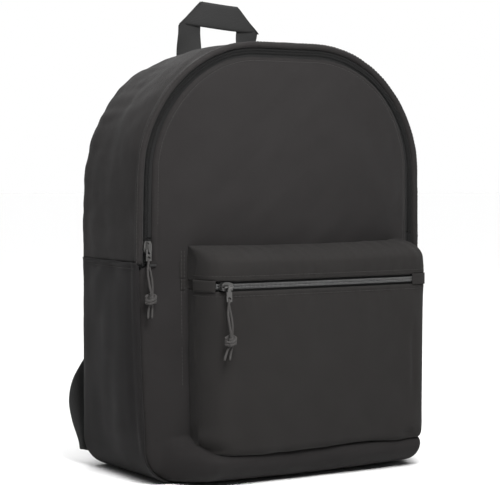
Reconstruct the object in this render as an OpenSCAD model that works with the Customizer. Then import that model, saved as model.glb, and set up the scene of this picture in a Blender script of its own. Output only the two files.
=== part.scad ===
// School backpack: arched main compartment with a zipped front flap, bellows front pocket, webbing
// grab handle and two padded shoulder straps. Millimetres, +Z up, front towards -Y, standing on z = 0.

/* [Body] */
// Width of the body across its side seams
body_w = 300; // [280:1:320]
// Height of the body
body_h = 400; // [380:1:430]
// Depth of the side band between its front and back seams
band_d = 125; // [110:1:150]
// Radius of the arched top corners
top_r = 118; // [100:1:125]
// Radius of the bottom corners
base_r = 30; // [24:1:36]
// Thickness of the coated cloth with its turned edges
cloth_t = 2; // [1.6:0.1:2.2]
// How far the filled front stands out beyond its side seams
front_bulge = 22; // [14:1:28]
// Height of the seam between each lower side and the upper band
side_seam_z = 200; // [190:1:204]
// Height of the line that the front flap folds about
fold_z = 222; // [221:1:226]

/* [Front pocket] */
// Width of the pocket at the seam that joins it to the front
pocket_w = 238; // [234:1:250]
// Width of the pocket's face
pocket_face_w = 228; // [216:1:232]
// Height of the pocket's bottom edge above the ground
pocket_low_z = 14; // [10:1:40]
// Height of the pocket's top seam
pocket_high_z = 214; // [208:1:216]
// Depth of the pocket in front of the body
pocket_d = 33; // [25:1:40]
// Height of the middle of the pocket's zip
pocket_zip_z = 180; // [165:1:184]

/* [Zips] */
// Width of the slot that shows a zip between its turned edges
slot_w = 8.6; // [8.4:0.1:10]
// Width of the tape on each side of a zip's middle line
tape_w = 12; // [10:0.5:14]
// Thickness of the tape
tape_t = 0.8; // [0.6:0.1:1]
// Gap between the two tapes, which the slider's neck runs in
tape_gap = 1.6; // [1.4:0.1:2]
// Length of a slider
slider_len = 11; // [10:0.5:13]
// Diameter of the pull cords
cord_d = 2; // [1.6:0.1:2.2]

/* [Handle and straps] */
// Width of the grab handle's webbing
handle_webbing_w = 25; // [20:1:28]
// Height of the grab handle above the body
handle_h = 50; // [40:1:60]
// Width of the shoulder pads at the top
pad_w = 62; // [50:1:70]
// Thickness of the shoulder pads
pad_t = 9; // [7:0.5:12]
// Width of the lower strap webbing
webbing_w = 32; // [25:1:38]
// Thickness of the webbing
webbing_t = 1.6; // [1.2:0.1:2]

/* [Hidden] */
$fn = 32;

half_w = body_w / 2;
pad_reach = 42.6;        // from the back seam to the middle of a pad where it stands out furthest
tab_reach = 5.5;         // from the pocket's face to the outside of its slider
front_reach = front_bulge + pocket_d + tab_reach;
back_reach = pad_reach + pad_t / 2;
front_y = -(band_d - front_reach + back_reach) / 2;
back_y = front_y + band_d;
face_y = front_y - front_bulge - pocket_d;   // outside of the pocket's face
meet = 0.05;             // gap between sewn pieces
lip = 4;                 // how far the band's turned edge stands in front of the zip
zip_y = front_y - 1;     // middle of the main zip's tape
zip_inset = 7.6;         // from the body's outline to the zip's middle line
flap_inset = 12.2;       // from the body's outline to the flap's edge
flap_edge = front_bulge * (1 - pow((half_w - flap_inset) / half_w, 2));
coil_w = 2.2;
coil_t = 1.6;
zip_end_z = 196;         // lower end of the main zip
main_slider_z = 214;     // middle of the main slider at its lower stop
pocket_slider_x = -97;   // middle of the pocket's slider at its left stop
pocket_zip_half = 106;   // half the length of the pocket's zip between its end tabs
pocket_tape_y = face_y + cloth_t + 0.5;      // middle of the pocket's zip tape
bar_y = -6.3;            // a slider's bar, in front of the middle of the tape
bar_r = 0.7;
post_z = 3.7;
crossbar = [0, bar_y + bar_r + 0.8, -post_z + bar_r + 0.95];   // where the main pull tab turns
eye_len = 4;
tab_len = 10;
tab_w = 5.4;
tab_t = 1.2;
tab_hole_r = 1.6;
pocket_tab_len = 13;
cord_drop = 33;
cord_out = 5;            // how far the main cord's knot hangs in front of the tab's hole
pocket_cord_out = 3.5;   // the same for the pocket's cord
knot_r = 4;
strap_gap = 0.5;         // between the sewn ends of a strap and the stretch that swings
cover_t = 1.2;           // a pad's outer cloth and its lining

// Route of a pull cord's loop from the top of its knot, up, through the tab's hole and down again,
// measured from the middle of the hole.
cord_route = [[-1.2, -5, -33], [-1.3, -4.7, -28], [-1.3, -4.2, -22], [-1.2, -3.8, -16],
  [-1.1, -3.3, -12], [-0.9, -2.9, -8], [-0.3, -2.2, -4], [0, -1.8, -2.2], [0, -1.2, -0.8], [0, 0, -0.3],
  [0, 1.2, -0.8], [0, 1.8, -2.2], [0.3, 1.5, -4.5], [0.9, 0.2, -8], [1.1, -0.9, -11], [1.2, -2, -14],
  [1.3, -3.1, -18], [1.3, -3.9, -22], [1.3, -4.7, -28], [1.2, -5, -33]];
// Middle line of the left shoulder strap from its top end: x, distance behind the back seam, z.
base_route = [[-49, 7, 380], [-50, 9, 368], [-52, 18, 352], [-56, 29, 332]];
pad_route = [[-56, 29, 332], [-63, 39, 298], [-71, 42.6, 262], [-79, 42, 228], [-86, 38.5, 196], [-92, 34, 165]];
// Middle line of the left lower webbing from the ladder lock to its anchor, in the same form.
webbing_route = [[-101.6, 31.4, 127.4], [-104, 30.5, 118], [-111, 29, 105], [-122, 28, 91], [-133, 25, 75],
  [-139, 20, 57], [-140, 12, 40]];
anchor_route = [[-140, 12, 40], [-139, 6, 29], [-137, 3.4, 20], [-136, 2.8, 12]];
lock_at = [-98, 33, 142];
lock_w = 44;
lock_h = 28;
lock_t = 4;
lock_lean = 14;          // how far the ladder lock leans sideways, in degrees
tail_len = 104;

function arc(cx, cz, r, from, to, steps) =
  [for (i = [0:steps]) let (a = from + (to - from) * i / steps) [cx + r * cos(a), cz + r * sin(a)]];

// The body's arched outline, moved inwards by inset.
function outline(inset) = concat(
  arc(half_w - base_r, base_r, base_r - inset, -90, 0, 5),
  arc(half_w - top_r, body_h - top_r, top_r - inset, 0, 90, 12),
  arc(top_r - half_w, body_h - top_r, top_r - inset, 90, 180, 12),
  arc(base_r - half_w, base_r, base_r - inset, 180, 270, 5));

// Half the width of that outline at a height.
function half_width(z, inset) = z < body_h - top_r ? half_w - inset :
  half_w - top_r + sqrt(max(0, pow(top_r - inset, 2) - pow(z - body_h + top_r, 2)));

// The outside of the filled front at a distance from the middle.
function front_at(x) = front_y - front_bulge * (1 - pow(x / half_w, 2));
function across(half, steps) = [for (i = [0:steps]) half * (2 * i / steps - 1)];
function unit(v) = v / norm(v);
function reversed(list) = [for (i = [len(list) - 1:-1:0]) list[i]];

// Extrudes a shape drawn in x and z along y.
module along_y(from, to) {
  translate([0, to, 0]) rotate([90, 0, 0]) linear_extrude(to - from) children();
}

// A ring of the body's outline between two insets, from one height to another.
module ring(outer, inner, low, high) {
  intersection() {
    difference() {
      polygon(outline(outer));
      polygon(outline(inner));
    }
    translate([-half_w - 1, low]) square([body_w + 2, high - low]);
  }
}

// Closes a solid over rings of points.
module skin(rings) {
  n = len(rings[0]);
  last = len(rings) - 1;
  sides = [for (i = [0:last - 1], j = [0:n - 1]) let (a = i * n + j, b = i * n + (j + 1) % n)
    each [[a, b, b + n], [a, b + n, a + n]]];
  caps = [[for (j = [n - 1:-1:0]) j], [for (j = [0:n - 1]) last * n + j]];
  polyhedron([for (r = rings) each r], concat(sides, caps), convexity = 6);
}

function tangent(path, i) = unit(path[min(i + 1, len(path) - 1)] - path[max(i - 1, 0)]);

// A point of a strap's route, in the part's own frame, for the left (-1) or right (1) strap.
function strap_point(p, side) = [-p[0] * side, back_y + p[1], p[2]];

// The line that a strap swings about: from the anchor's seam to the top seam.
function swing_axis(side) = unit(strap_point([-50, 6, 372], side) - strap_point([-136, 2.6, 16], side));

// Rings of a flat strap along a route, square to the line it swings about. Its faces are at low and
// high from the middle line, on the side away from the wearer's back.
function strap_rings(route, side, widths, low, high) = let (axis = swing_axis(side),
    across = unit(cross(axis, [0, 1, 0])), out = cross(across, axis), last = len(route) - 1)
  [for (i = [0:last]) let (w = (widths[0] + (widths[1] - widths[0]) * i / last) / 2)
    [for (p = [[-w, low], [-w, high], [w, high], [w, low]])
      strap_point(route[i], side) + across * p[0] + out * p[1]]];

// A route whose first point is moved down the swing axis by the gap at the sewn end.
function started(route) = let (shift = swing_axis(-1) * strap_gap)
  [for (i = [0:len(route) - 1]) i == 0 ? route[0] - shift : route[i]];

// Rings of a round cord along a path that never runs along x.
function cord_rings(path, r) = [for (i = [0:len(path) - 1])
  let (t = tangent(path, i), u = unit(cross(t, [1, 0, 0])), v = cross(t, u))
  [for (a = [0:45:315]) path[i] + r * (u * cos(a) + v * sin(a))]];

// ---- body ----

module front_panel() {
  color([0.17, 0.165, 0.165]) intersection() {
    union() {
      curved_sheet(half_w, 0, side_seam_z - 4);
      curved_sheet(half_w - flap_inset, side_seam_z - 4, fold_z - 0.4);
    }
    along_y(face_y, back_y) polygon(outline(cloth_t + meet));
  }
}

// A sheet that follows the filled front's curve.
module curved_sheet(half, low, high) {
  xs = across(half, 14);
  translate([0, 0, low]) linear_extrude(high - low)
    polygon(concat([for (x = xs) [x, front_at(x)]], [for (x = reversed(xs)) [x, front_at(x) + cloth_t]]));
}

module side_panel(side) {
  color([0.155, 0.15, 0.15]) along_y(front_y, back_y - cloth_t) intersection() {
    ring(0, cloth_t, base_r, side_seam_z);
    translate([side > 0 ? 0 : -half_w, 0]) square([half_w, body_h]);
  }
}

module base_panel() {
  xs = across(half_w, 14);
  color([0.13, 0.125, 0.125]) intersection() {
    along_y(face_y, back_y - cloth_t) ring(0, cloth_t, 0, base_r);
    linear_extrude(base_r) polygon(concat([for (x = xs) [x, front_at(x)]], [[half_w, back_y], [-half_w, back_y]]));
  }
}

module top_band() {
  color([0.165, 0.16, 0.16]) along_y(front_y - lip, back_y - cloth_t) ring(0, cloth_t, side_seam_z, body_h);
}

module back_panel() {
  color([0.14, 0.14, 0.14]) along_y(back_y - cloth_t, back_y) polygon(outline(0));
}

module back_foam() {
  color([0.3, 0.3, 0.31]) along_y(back_y - cloth_t - 6, back_y - cloth_t) polygon(outline(14));
}

module back_lining() {
  color([0.1, 0.1, 0.1]) along_y(back_y - cloth_t - 7, back_y - cloth_t - 6) polygon(outline(4.5));
}

module front_seam_binding() {
  color([0.08, 0.08, 0.08]) along_y(front_y + 2.6, front_y + 12) ring(cloth_t + meet, 3.4, base_r, body_h);
}

module back_seam_binding() {
  color([0.08, 0.08, 0.08]) along_y(back_y - 14, back_y - cloth_t - meet) ring(cloth_t + meet, 3.4, 0, body_h);
}

module yoke_patch() {
  color([0.14, 0.14, 0.14]) along_y(back_y, back_y + 1.2) intersection() {
    polygon(outline(7));
    translate([-86, 346]) square([172, 60]);
  }
}

// ---- front pocket ----

// The pocket's plan, moved inwards by inset.
module pocket_plan(inset) {
  out = pocket_w / 2 - inset;
  face = pocket_face_w / 2 - inset;
  xs = across(out, 14);
  polygon(concat([[face, face_y + inset], [-face, face_y + inset]],
    [for (x = xs) [x, front_at(x) - 0.4 + (inset > 0 ? 2 : 0)]]));
}

// Everything behind the front's own surface, which the pocket's pieces are cut back from.
module behind_front() {
  xs = across(half_w, 14);
  translate([0, 0, pocket_low_z - 1]) linear_extrude(pocket_high_z - pocket_low_z + 2)
    polygon(concat([for (x = xs) [x, front_at(x) - 0.4]], [[half_w, back_y], [-half_w, back_y]]));
}

// The pocket's outline in y and z, moved inwards by inset.
module pocket_side(inset) {
  low = pocket_low_z + inset;
  rotate([90, 0, 90]) translate([0, 0, -half_w]) linear_extrude(body_w)
    polygon([[face_y + inset, low], [front_y, low], [front_y, pocket_high_z - inset],
      [face_y + 26, pocket_high_z - inset], [face_y + inset, pocket_high_z - 17 - inset / 2]]);
}

// The pocket's walls between two heights and between two distances from the middle.
module pocket_walls(low, high, near, far) {
  difference() {
    intersection() {
      linear_extrude(pocket_high_z) pocket_plan(0);
      pocket_side(0);
      translate([near, face_y - 1, low]) cube([far - near, band_d, high - low]);
    }
    intersection() {
      linear_extrude(pocket_high_z) pocket_plan(cloth_t);
      pocket_side(cloth_t);
    }
    behind_front();
  }
}

module pocket_front() {
  half = pocket_face_w / 2 - cloth_t;
  color([0.18, 0.175, 0.17]) pocket_walls(pocket_low_z, pocket_zip_z - slot_w / 2, -half, half);
}

module pocket_top() {
  half = pocket_face_w / 2 - cloth_t;
  color([0.2, 0.19, 0.185]) pocket_walls(pocket_zip_z + slot_w / 2, pocket_high_z, -half, half);
}

// The bellows that joins the pocket's face to the front at one end.
module pocket_gusset(side) {
  inner = pocket_face_w / 2 - cloth_t + meet;
  near = side > 0 ? inner : -half_w;
  color([0.17, 0.165, 0.16]) pocket_walls(pocket_low_z, pocket_high_z, near, near + half_w - inner);
}

// One of the pocket's two tapes: from the middle gap outwards, above (1) or below (-1) the zip's line.
module pocket_strip(side, from, to, y0, y1, half = pocket_face_w / 2 - cloth_t - 1) {
  low = side > 0 ? from : -to;
  translate([-half, y0, pocket_zip_z + low]) cube([2 * half, y1 - y0, to - from]);
}

module pocket_tape(side) {
  color([0.07, 0.07, 0.07])
    pocket_strip(side, tape_gap / 2, tape_w, pocket_tape_y - tape_t / 2, pocket_tape_y + tape_t / 2);
}

module pocket_coil(side) {
  low = tape_gap / 2 - 0.2;
  color([0.12, 0.12, 0.12])
    pocket_strip(side, low, low + coil_w, pocket_tape_y - tape_t / 2 - coil_t, pocket_tape_y - tape_t / 2,
      pocket_zip_half - meet);
}

module pocket_zip_ends() {
  half = pocket_face_w / 2 - cloth_t;
  color([0.17, 0.165, 0.16]) for (side = [-1, 1])
    translate([side > 0 ? pocket_zip_half : -half, face_y, pocket_zip_z - slot_w / 2 + meet])
      cube([half - pocket_zip_half, cloth_t, slot_w - 2 * meet]);
}

// ---- main zip and front flap ----

// One side of the main zip: between two insets, in front of and behind the middle of the tape.
module zip_ring(from, to, y0, y1, low, high = body_h) {
  along_y(zip_y + y0, zip_y + y1) ring(from, to, low, high);
}

module band_zip_tape() {
  color([0.05, 0.05, 0.05])
    zip_ring(cloth_t + meet, zip_inset - tape_gap / 2, -tape_t / 2, tape_t / 2, zip_end_z + meet);
}

module band_zip_coil() {
  inner = zip_inset - tape_gap / 2 + 0.2;
  color([0.1, 0.1, 0.1]) zip_ring(inner - coil_w, inner, -tape_t / 2 - coil_t, -tape_t / 2, zip_end_z + 4);
}

// The small blocks sewn across both ends of the main zip.
module band_zip_stops() {
  color([0.05, 0.05, 0.05]) for (side = [-1, 1])
    translate([side * (half_w - zip_inset) - 3.5, zip_y - tape_t / 2 - 1.6, zip_end_z + 1]) cube([7, 1.6, 2]);
}

// The lowest stretch of the zip's inner side, below the flap's fold.
module panel_zip_tape() {
  color([0.05, 0.05, 0.05]) zip_ring(zip_inset + tape_gap / 2, zip_inset + tape_w - 1,
    -tape_t / 2, tape_t / 2, zip_end_z + meet, fold_z - 0.4);
}

module panel_zip_coil() {
  outer = zip_inset + tape_gap / 2 - 0.2;
  color([0.1, 0.1, 0.1])
    zip_ring(outer, outer + coil_w, -tape_t / 2 - coil_t, -tape_t / 2, zip_end_z + 4, fold_z - 0.4);
}

// The flap's sheet: rows of the front's curve, flattening towards the crown.
function flap_row(z, back) = let (half = half_width(z, flap_inset), rise = (z - fold_z) / (body_h - flap_inset - fold_z),
    swell = (front_bulge - flap_edge) * pow(1 - 0.98 * rise * rise, 0.7))
  [for (x = across(half, 14)) [x, front_y - flap_edge - swell * (1 - pow(x / half, 2)) + back, z]];

module front_flap() {
  top = body_h - flap_inset;
  low = fold_z + 0.4;
  knee = body_h - top_r;
  levels = concat([for (i = [0:2]) low + (knee - low) * i / 3],
    [for (a = [0:11.25:90]) knee + (top - knee) * sin(a)]);
  color([0.185, 0.18, 0.18]) skin([for (z = levels) concat(flap_row(z, 0), reversed(flap_row(z, cloth_t)))]);
}

module flap_zip_tape() {
  color([0.05, 0.05, 0.05])
    zip_ring(zip_inset + tape_gap / 2, zip_inset + tape_w - 1, -tape_t / 2, tape_t / 2, fold_z + 0.4);
}

module flap_zip_coil() {
  outer = zip_inset + tape_gap / 2 - 0.2;
  color([0.1, 0.1, 0.1]) zip_ring(outer, outer + coil_w, -tape_t / 2 - coil_t, -tape_t / 2, fold_z + 0.4);
}

// ---- sliders, pull tabs and cords ----

// A slider that runs along z: its middle is on the middle of the tape.
module slider() {
  outer = [[-2.3, -5.5], [2.3, -5.5], [4, -3.5], [4, 2.5], [2.8, 5.5], [-2.8, 5.5], [-4, 2.5], [-4, -3.5]];
  color([0.09, 0.09, 0.09]) union() {
    along_y(-3.5, -2.3) polygon(outer * slider_len / 11);
    along_y(0.7, 1.7) polygon(outer * slider_len / 11);
    translate([-0.4, -2.6, -5.4]) cube([0.8, 3.6, 2.4]);
    for (z = [-post_z, post_z]) translate([-0.8, bar_y, z - bar_r]) cube([1.6, -3 - bar_y, 2 * bar_r]);
    translate([0, bar_y, -post_z - bar_r]) cylinder(r = bar_r, h = 2 * (post_z + bar_r));
  }
}

module main_slider() {
  translate([zip_inset - half_w, zip_y, main_slider_z]) slider();
}

module pocket_slider() {
  translate([pocket_slider_x, pocket_tape_y, pocket_zip_z]) rotate([0, 90, 0]) slider();
}

// The main pull tab: a round crossbar under the slider's bar, two arms and a plate with a cord hole.
module main_pull_tab() {
  color([0.12, 0.12, 0.12]) translate([zip_inset - half_w, zip_y, main_slider_z] + crossbar) difference() {
    union() {
      rotate([0, 90, 0]) cylinder(r = 0.65, h = tab_w, center = true);
      for (side = [-1, 1]) translate([side > 0 ? 1.15 : -tab_w / 2, -tab_t / 2, -eye_len - 0.5])
        cube([tab_w / 2 - 1.15, tab_t, eye_len + 0.5]);
      translate([-tab_w / 2, -tab_t / 2, -tab_len]) cube([tab_w, tab_t, tab_len - eye_len]);
    }
    translate([0, 0, 2.6 - tab_len]) rotate([90, 0, 0]) cylinder(r = tab_hole_r, h = 5, center = true);
  }
}

// The pocket's pull tab: a rolled eye round the slider's bar, a waist and a plate with a cord hole.
module pocket_pull_tab() {
  color([0.12, 0.12, 0.12]) translate([pocket_slider_x, pocket_tape_y + bar_y, pocket_zip_z]) difference() {
    union() {
      rotate([0, 90, 0]) cylinder(r = 1.7, h = 3, center = true);
      translate([-1.5, -tab_t / 2, -5]) cube([3, tab_t, 4]);
      translate([-tab_w / 2, -tab_t / 2, -pocket_tab_len]) cube([tab_w, tab_t, pocket_tab_len - 4]);
    }
    rotate([0, 90, 0]) cylinder(r = 1, h = 4, center = true);
    translate([0, 0, 2.6 - pocket_tab_len]) rotate([90, 0, 0]) cylinder(r = tab_hole_r, h = 5, center = true);
  }
}

main_hole = [zip_inset - half_w, zip_y, main_slider_z] + crossbar + [0, 0, 2.6 - tab_len];
pocket_hole = [pocket_slider_x, pocket_tape_y + bar_y, pocket_zip_z + 2.6 - pocket_tab_len];

// A doubled cord through a tab's hole; out is how far in front of the hole its knot hangs.
module pull_cord(hole, out) {
  path = [for (p = cord_route) hole + [p[0], p[1] + (out - cord_out) * p[2] / cord_drop, p[2]]];
  color([0.06, 0.06, 0.06]) skin(cord_rings(path, cord_d / 2));
}

// The overhand knot that joins the loop's two ends, with the tails below it.
module cord_knot(hole, out, lean) {
  color([0.06, 0.06, 0.06]) translate(hole + [0, -out, -cord_drop - knot_r]) union() {
    translate([0, 0, -knot_r]) cylinder(r = knot_r, h = 2 * knot_r - 0.1);
    for (side = [-1, 1]) translate([side * 1.5, 0, -2]) rotate([0, lean + side * 7, 0])
      translate([0, 0, -13]) cylinder(r = cord_d / 2, h = 12);
  }
}

// ---- handle ----

module grab_handle() {
  low = body_h + 1.2;
  high = body_h + handle_h;
  out = 46;
  under = high - handle_webbing_w + 1;
  fold = 22;
  color([0.1, 0.1, 0.1]) along_y(back_y - 3.4, back_y - 0.6) polygon([[-out, low], [-out, high - fold],
    [fold - out, high], [out - fold, high], [out, high - fold], [out, low], [out - handle_webbing_w, low],
    [out - handle_webbing_w, under], [handle_webbing_w - out, under], [handle_webbing_w - out, low]]);
}

// ---- shoulder straps; side is -1 for the left one and 1 for the right one ----

// The sewn top end of a strap, which doesn't swing.
module strap_base(side) {
  color([0.15, 0.15, 0.15]) skin(strap_rings(base_route, side, [pad_w, pad_w], -pad_t / 2, pad_t / 2));
}

// One layer of the swinging pad, between two distances from its middle.
module pad_layer(side, low, high) {
  skin(strap_rings(started(pad_route), side, [pad_w, pad_w - 10], low, high));
}

module strap_cover(side) {
  color([0.13, 0.13, 0.13]) pad_layer(side, pad_t / 2 - cover_t, pad_t / 2);
}

module strap_foam(side) {
  color([0.3, 0.3, 0.31]) pad_layer(side, cover_t - pad_t / 2, pad_t / 2 - cover_t);
}

module strap_lining(side) {
  color([0.1, 0.1, 0.1]) pad_layer(side, -pad_t / 2, cover_t - pad_t / 2);
}

module lower_webbing(side) {
  color([0.08, 0.08, 0.08])
    skin(strap_rings(webbing_route, side, [webbing_w, webbing_w], -webbing_t / 2, webbing_t / 2));
}

// Places a piece drawn round the ladder lock's middle.
module at_lock(side) {
  translate(strap_point(lock_at, side)) rotate([-6, 0, 0]) rotate([0, -side * lock_lean, 0]) children();
}

module ladder_lock(side) {
  bar = 4;
  slot_h = (lock_h - 3 * bar) / 2;
  color([0.07, 0.07, 0.07]) at_lock(side) difference() {
    along_y(-lock_t / 2, lock_t / 2) square([lock_w, lock_h], center = true);
    for (end = [-1, 1]) translate([-lock_w / 2 + 4, -lock_t, end * (slot_h + bar) / 2 - slot_h / 2])
      cube([lock_w - 8, 2 * lock_t, slot_h]);
  }
}

// The webbing loop round the ladder lock's top bar, sewn to the end of the pad.
module lock_loop(side) {
  color([0.08, 0.08, 0.08]) at_lock(side) translate([-webbing_w / 2, 0, lock_h / 2]) difference() {
    translate([0, -3.6, -6]) cube([webbing_w, 7.2, 13]);
    translate([-1, -2.2, -4.5]) cube([webbing_w + 2, 4.4, 8]);
  }
}

module webbing_tail(side) {
  color([0.08, 0.08, 0.08]) at_lock(side) translate([-webbing_w / 2, lock_t / 2 + 0.8, -lock_h / 2 - tail_len + 6])
    cube([webbing_w, webbing_t, tail_len]);
}

// The triangular patch on the back seam, with the sewn end of the lower webbing.
module anchor_tab(side) {
  color([0.14, 0.14, 0.14]) union() {
    along_y(back_y, back_y + 1.2)
      polygon([for (p = [[147, 30], [147, 74], [112, 26], [124, 6], [133, 8]]) [side * p[0], p[1]]]);
    skin(strap_rings(started(anchor_route), side, [webbing_w, webbing_w - 10], -webbing_t / 2, webbing_t / 2));
  }
}

front_panel();
side_panel(-1);  // left_side_panel
side_panel(1);  // right_side_panel
base_panel();
top_band();
back_panel();
back_foam();
back_lining();
front_seam_binding();
back_seam_binding();
yoke_patch();
pocket_front();
pocket_top();
pocket_gusset(-1);  // pocket_left_gusset
pocket_gusset(1);  // pocket_right_gusset
pocket_tape(1);  // pocket_tape_upper
pocket_tape(-1);  // pocket_tape_lower
pocket_coil(1);  // pocket_coil_upper
pocket_coil(-1);  // pocket_coil_lower
pocket_zip_ends();
band_zip_tape();
band_zip_coil();
band_zip_stops();
panel_zip_tape();
panel_zip_coil();
front_flap();
flap_zip_tape();
flap_zip_coil();
main_slider();
main_pull_tab();
pull_cord(main_hole, cord_out);  // main_pull_cord
cord_knot(main_hole, cord_out, 10);  // main_cord_knot
pocket_slider();
pocket_pull_tab();
pull_cord(pocket_hole, pocket_cord_out);  // pocket_pull_cord
cord_knot(pocket_hole, pocket_cord_out, 24);  // pocket_cord_knot
grab_handle();
strap_base(-1);  // left_strap_base
strap_cover(-1);  // left_strap_cover
strap_foam(-1);  // left_strap_foam
strap_lining(-1);  // left_strap_lining
lock_loop(-1);  // left_lock_loop
ladder_lock(-1);  // left_ladder_lock
lower_webbing(-1);  // left_lower_webbing
anchor_tab(-1);  // left_anchor_tab
webbing_tail(-1);  // left_webbing_tail
strap_base(1);  // right_strap_base
strap_cover(1);  // right_strap_cover
strap_foam(1);  // right_strap_foam
strap_lining(1);  // right_strap_lining
lock_loop(1);  // right_lock_loop
ladder_lock(1);  // right_ladder_lock
lower_webbing(1);  // right_lower_webbing
anchor_tab(1);  // right_anchor_tab
webbing_tail(1);  // right_webbing_tail
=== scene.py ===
"""Looks of a school backpack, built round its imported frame.

Everything is in metres in the frame's own axes: +Z up, the front (pocket side) towards -Y.
Cloth panels are grids of points with folds worked into them, hard pieces are shaped by mesh operators,
and every finish is a procedural material.
"""

from __future__ import annotations

import logging
import math
from dataclasses import dataclass, field
from enum import Enum
from typing import Callable, Sequence

import bpy
import numpy as np
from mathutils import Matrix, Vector


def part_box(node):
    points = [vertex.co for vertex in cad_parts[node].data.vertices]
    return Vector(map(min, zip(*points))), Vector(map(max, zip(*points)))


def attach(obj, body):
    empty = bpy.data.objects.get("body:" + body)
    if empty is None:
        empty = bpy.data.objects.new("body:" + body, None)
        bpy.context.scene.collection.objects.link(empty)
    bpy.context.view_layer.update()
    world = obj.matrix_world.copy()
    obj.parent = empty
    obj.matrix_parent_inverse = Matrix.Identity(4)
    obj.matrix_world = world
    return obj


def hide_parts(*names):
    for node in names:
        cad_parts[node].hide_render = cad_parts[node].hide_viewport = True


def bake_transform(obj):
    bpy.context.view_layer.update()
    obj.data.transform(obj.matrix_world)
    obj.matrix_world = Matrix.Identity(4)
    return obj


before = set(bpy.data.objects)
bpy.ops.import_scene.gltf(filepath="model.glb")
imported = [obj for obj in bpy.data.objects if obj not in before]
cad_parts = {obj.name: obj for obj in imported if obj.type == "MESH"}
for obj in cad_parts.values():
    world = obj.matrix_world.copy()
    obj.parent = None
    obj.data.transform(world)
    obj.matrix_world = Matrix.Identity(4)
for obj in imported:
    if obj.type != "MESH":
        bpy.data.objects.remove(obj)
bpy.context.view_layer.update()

LOG = logging.getLogger("backpack")
MM = 0.001
Grid = np.ndarray
Point = Sequence[float]


# ---- small mathematics -------------------------------------------------------------------------


def smooth(t: Grid | float) -> Grid:
    """Returns t eased between 0 and 1."""
    t = np.clip(t, 0.0, 1.0)
    return t * t * (3 - 2 * t)


def hill(t: Grid, centre: float, width: float) -> Grid:
    """Returns a soft bump of height 1 round centre."""
    return np.exp(-(((t - centre) / width) ** 2))


def unit(v: Grid) -> Grid:
    """Returns vectors scaled to length 1 along the last axis."""
    return v / np.maximum(np.linalg.norm(v, axis=-1, keepdims=True), 1e-12)


class Folds:
    """Smooth seeded noise over a plane, for the slack and folds of cloth."""

    SIZE = 64

    def __init__(self, seed: int) -> None:
        """Draws the gradients of one seed."""
        angle = np.random.default_rng(seed).uniform(0, 2 * math.pi, (self.SIZE, self.SIZE))
        self.gradient = np.stack([np.cos(angle), np.sin(angle)], axis=-1)

    def octave(self, x: Grid, y: Grid) -> Grid:
        """Returns gradient noise, about -0.7 to 0.7, with features one unit across."""
        x, y = np.broadcast_arrays(np.asarray(x, float), np.asarray(y, float))
        xi, yi = np.floor(x).astype(int), np.floor(y).astype(int)
        xf, yf = x - xi, y - yi
        total = np.zeros_like(x)
        for dx in (0, 1):
            for dy in (0, 1):
                g = self.gradient[(xi + dx) % self.SIZE, (yi + dy) % self.SIZE]
                dot = g[..., 0] * (xf - dx) + g[..., 1] * (yf - dy)
                wx = smooth(1 - np.abs(xf - dx))
                total += dot * wx * smooth(1 - np.abs(yf - dy))
        return total

    def at(self, x: Grid, y: Grid, size: float, octaves: int = 3) -> Grid:
        """Returns several octaves of noise whose largest features are size metres across."""
        total = np.zeros(np.broadcast(x, y).shape)
        for k in range(octaves):
            scale = 2**k / size
            total += self.octave(np.asarray(x) * scale + 7.3 * k, np.asarray(y) * scale - 3.1 * k) / 1.8**k
        return total


def through(points: Sequence[Point], step: float) -> Grid:
    """Returns a smooth line through the points, resampled at about one step.

    Args:
        points: The points of the line, in order.
        step: The distance between the points returned.

    Returns:
        An array of points evenly spaced along the line.
    """
    p = np.asarray(points, float)
    ends = np.vstack([2 * p[0] - p[1], p, 2 * p[-1] - p[-2]])
    fine = []
    for i in range(1, len(ends) - 2):
        a, b, c, d = ends[i - 1 : i + 3]
        t = np.linspace(0, 1, 24, endpoint=False)[:, None]
        fine.append(0.5 * (2 * b + (c - a) * t + (2 * a - 5 * b + 4 * c - d) * t**2
                           + (3 * b - a - 3 * c + d) * t**3))
    fine = np.vstack([*fine, p[-1:]])
    return evenly(fine, step)


def evenly(line: Grid, step: float) -> Grid:
    """Returns a line resampled at even spacing of about one step."""
    run = run_along(line)
    count = max(2, int(round(run[-1] / step)) + 1)
    at = np.linspace(0, run[-1], count)
    return np.stack([np.interp(at, run, line[:, k]) for k in range(line.shape[1])], axis=-1)


def run_along(line: Grid) -> Grid:
    """Returns the distance of each point along a line."""
    return np.concatenate([[0.0], np.cumsum(np.linalg.norm(np.diff(line, axis=0), axis=1))])


# ---- finishes ----------------------------------------------------------------------------------


class Finish(Enum):
    """The record's material slots."""

    BODY = "body_cloth"
    BASE = "base_cloth"
    POCKET = "pocket_cloth"
    MESH = "mesh_lining"
    LINING = "inner_lining"
    FOAM = "foam"
    BINDING = "binding"
    TAPE = "zip_tape"
    COIL = "zip_coil"
    STOP = "zip_stop"
    METAL = "slider_metal"
    CORD = "cord"
    WEBBING = "webbing"
    STRAP = "strap_cloth"
    PLASTIC = "buckle_plastic"


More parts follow.
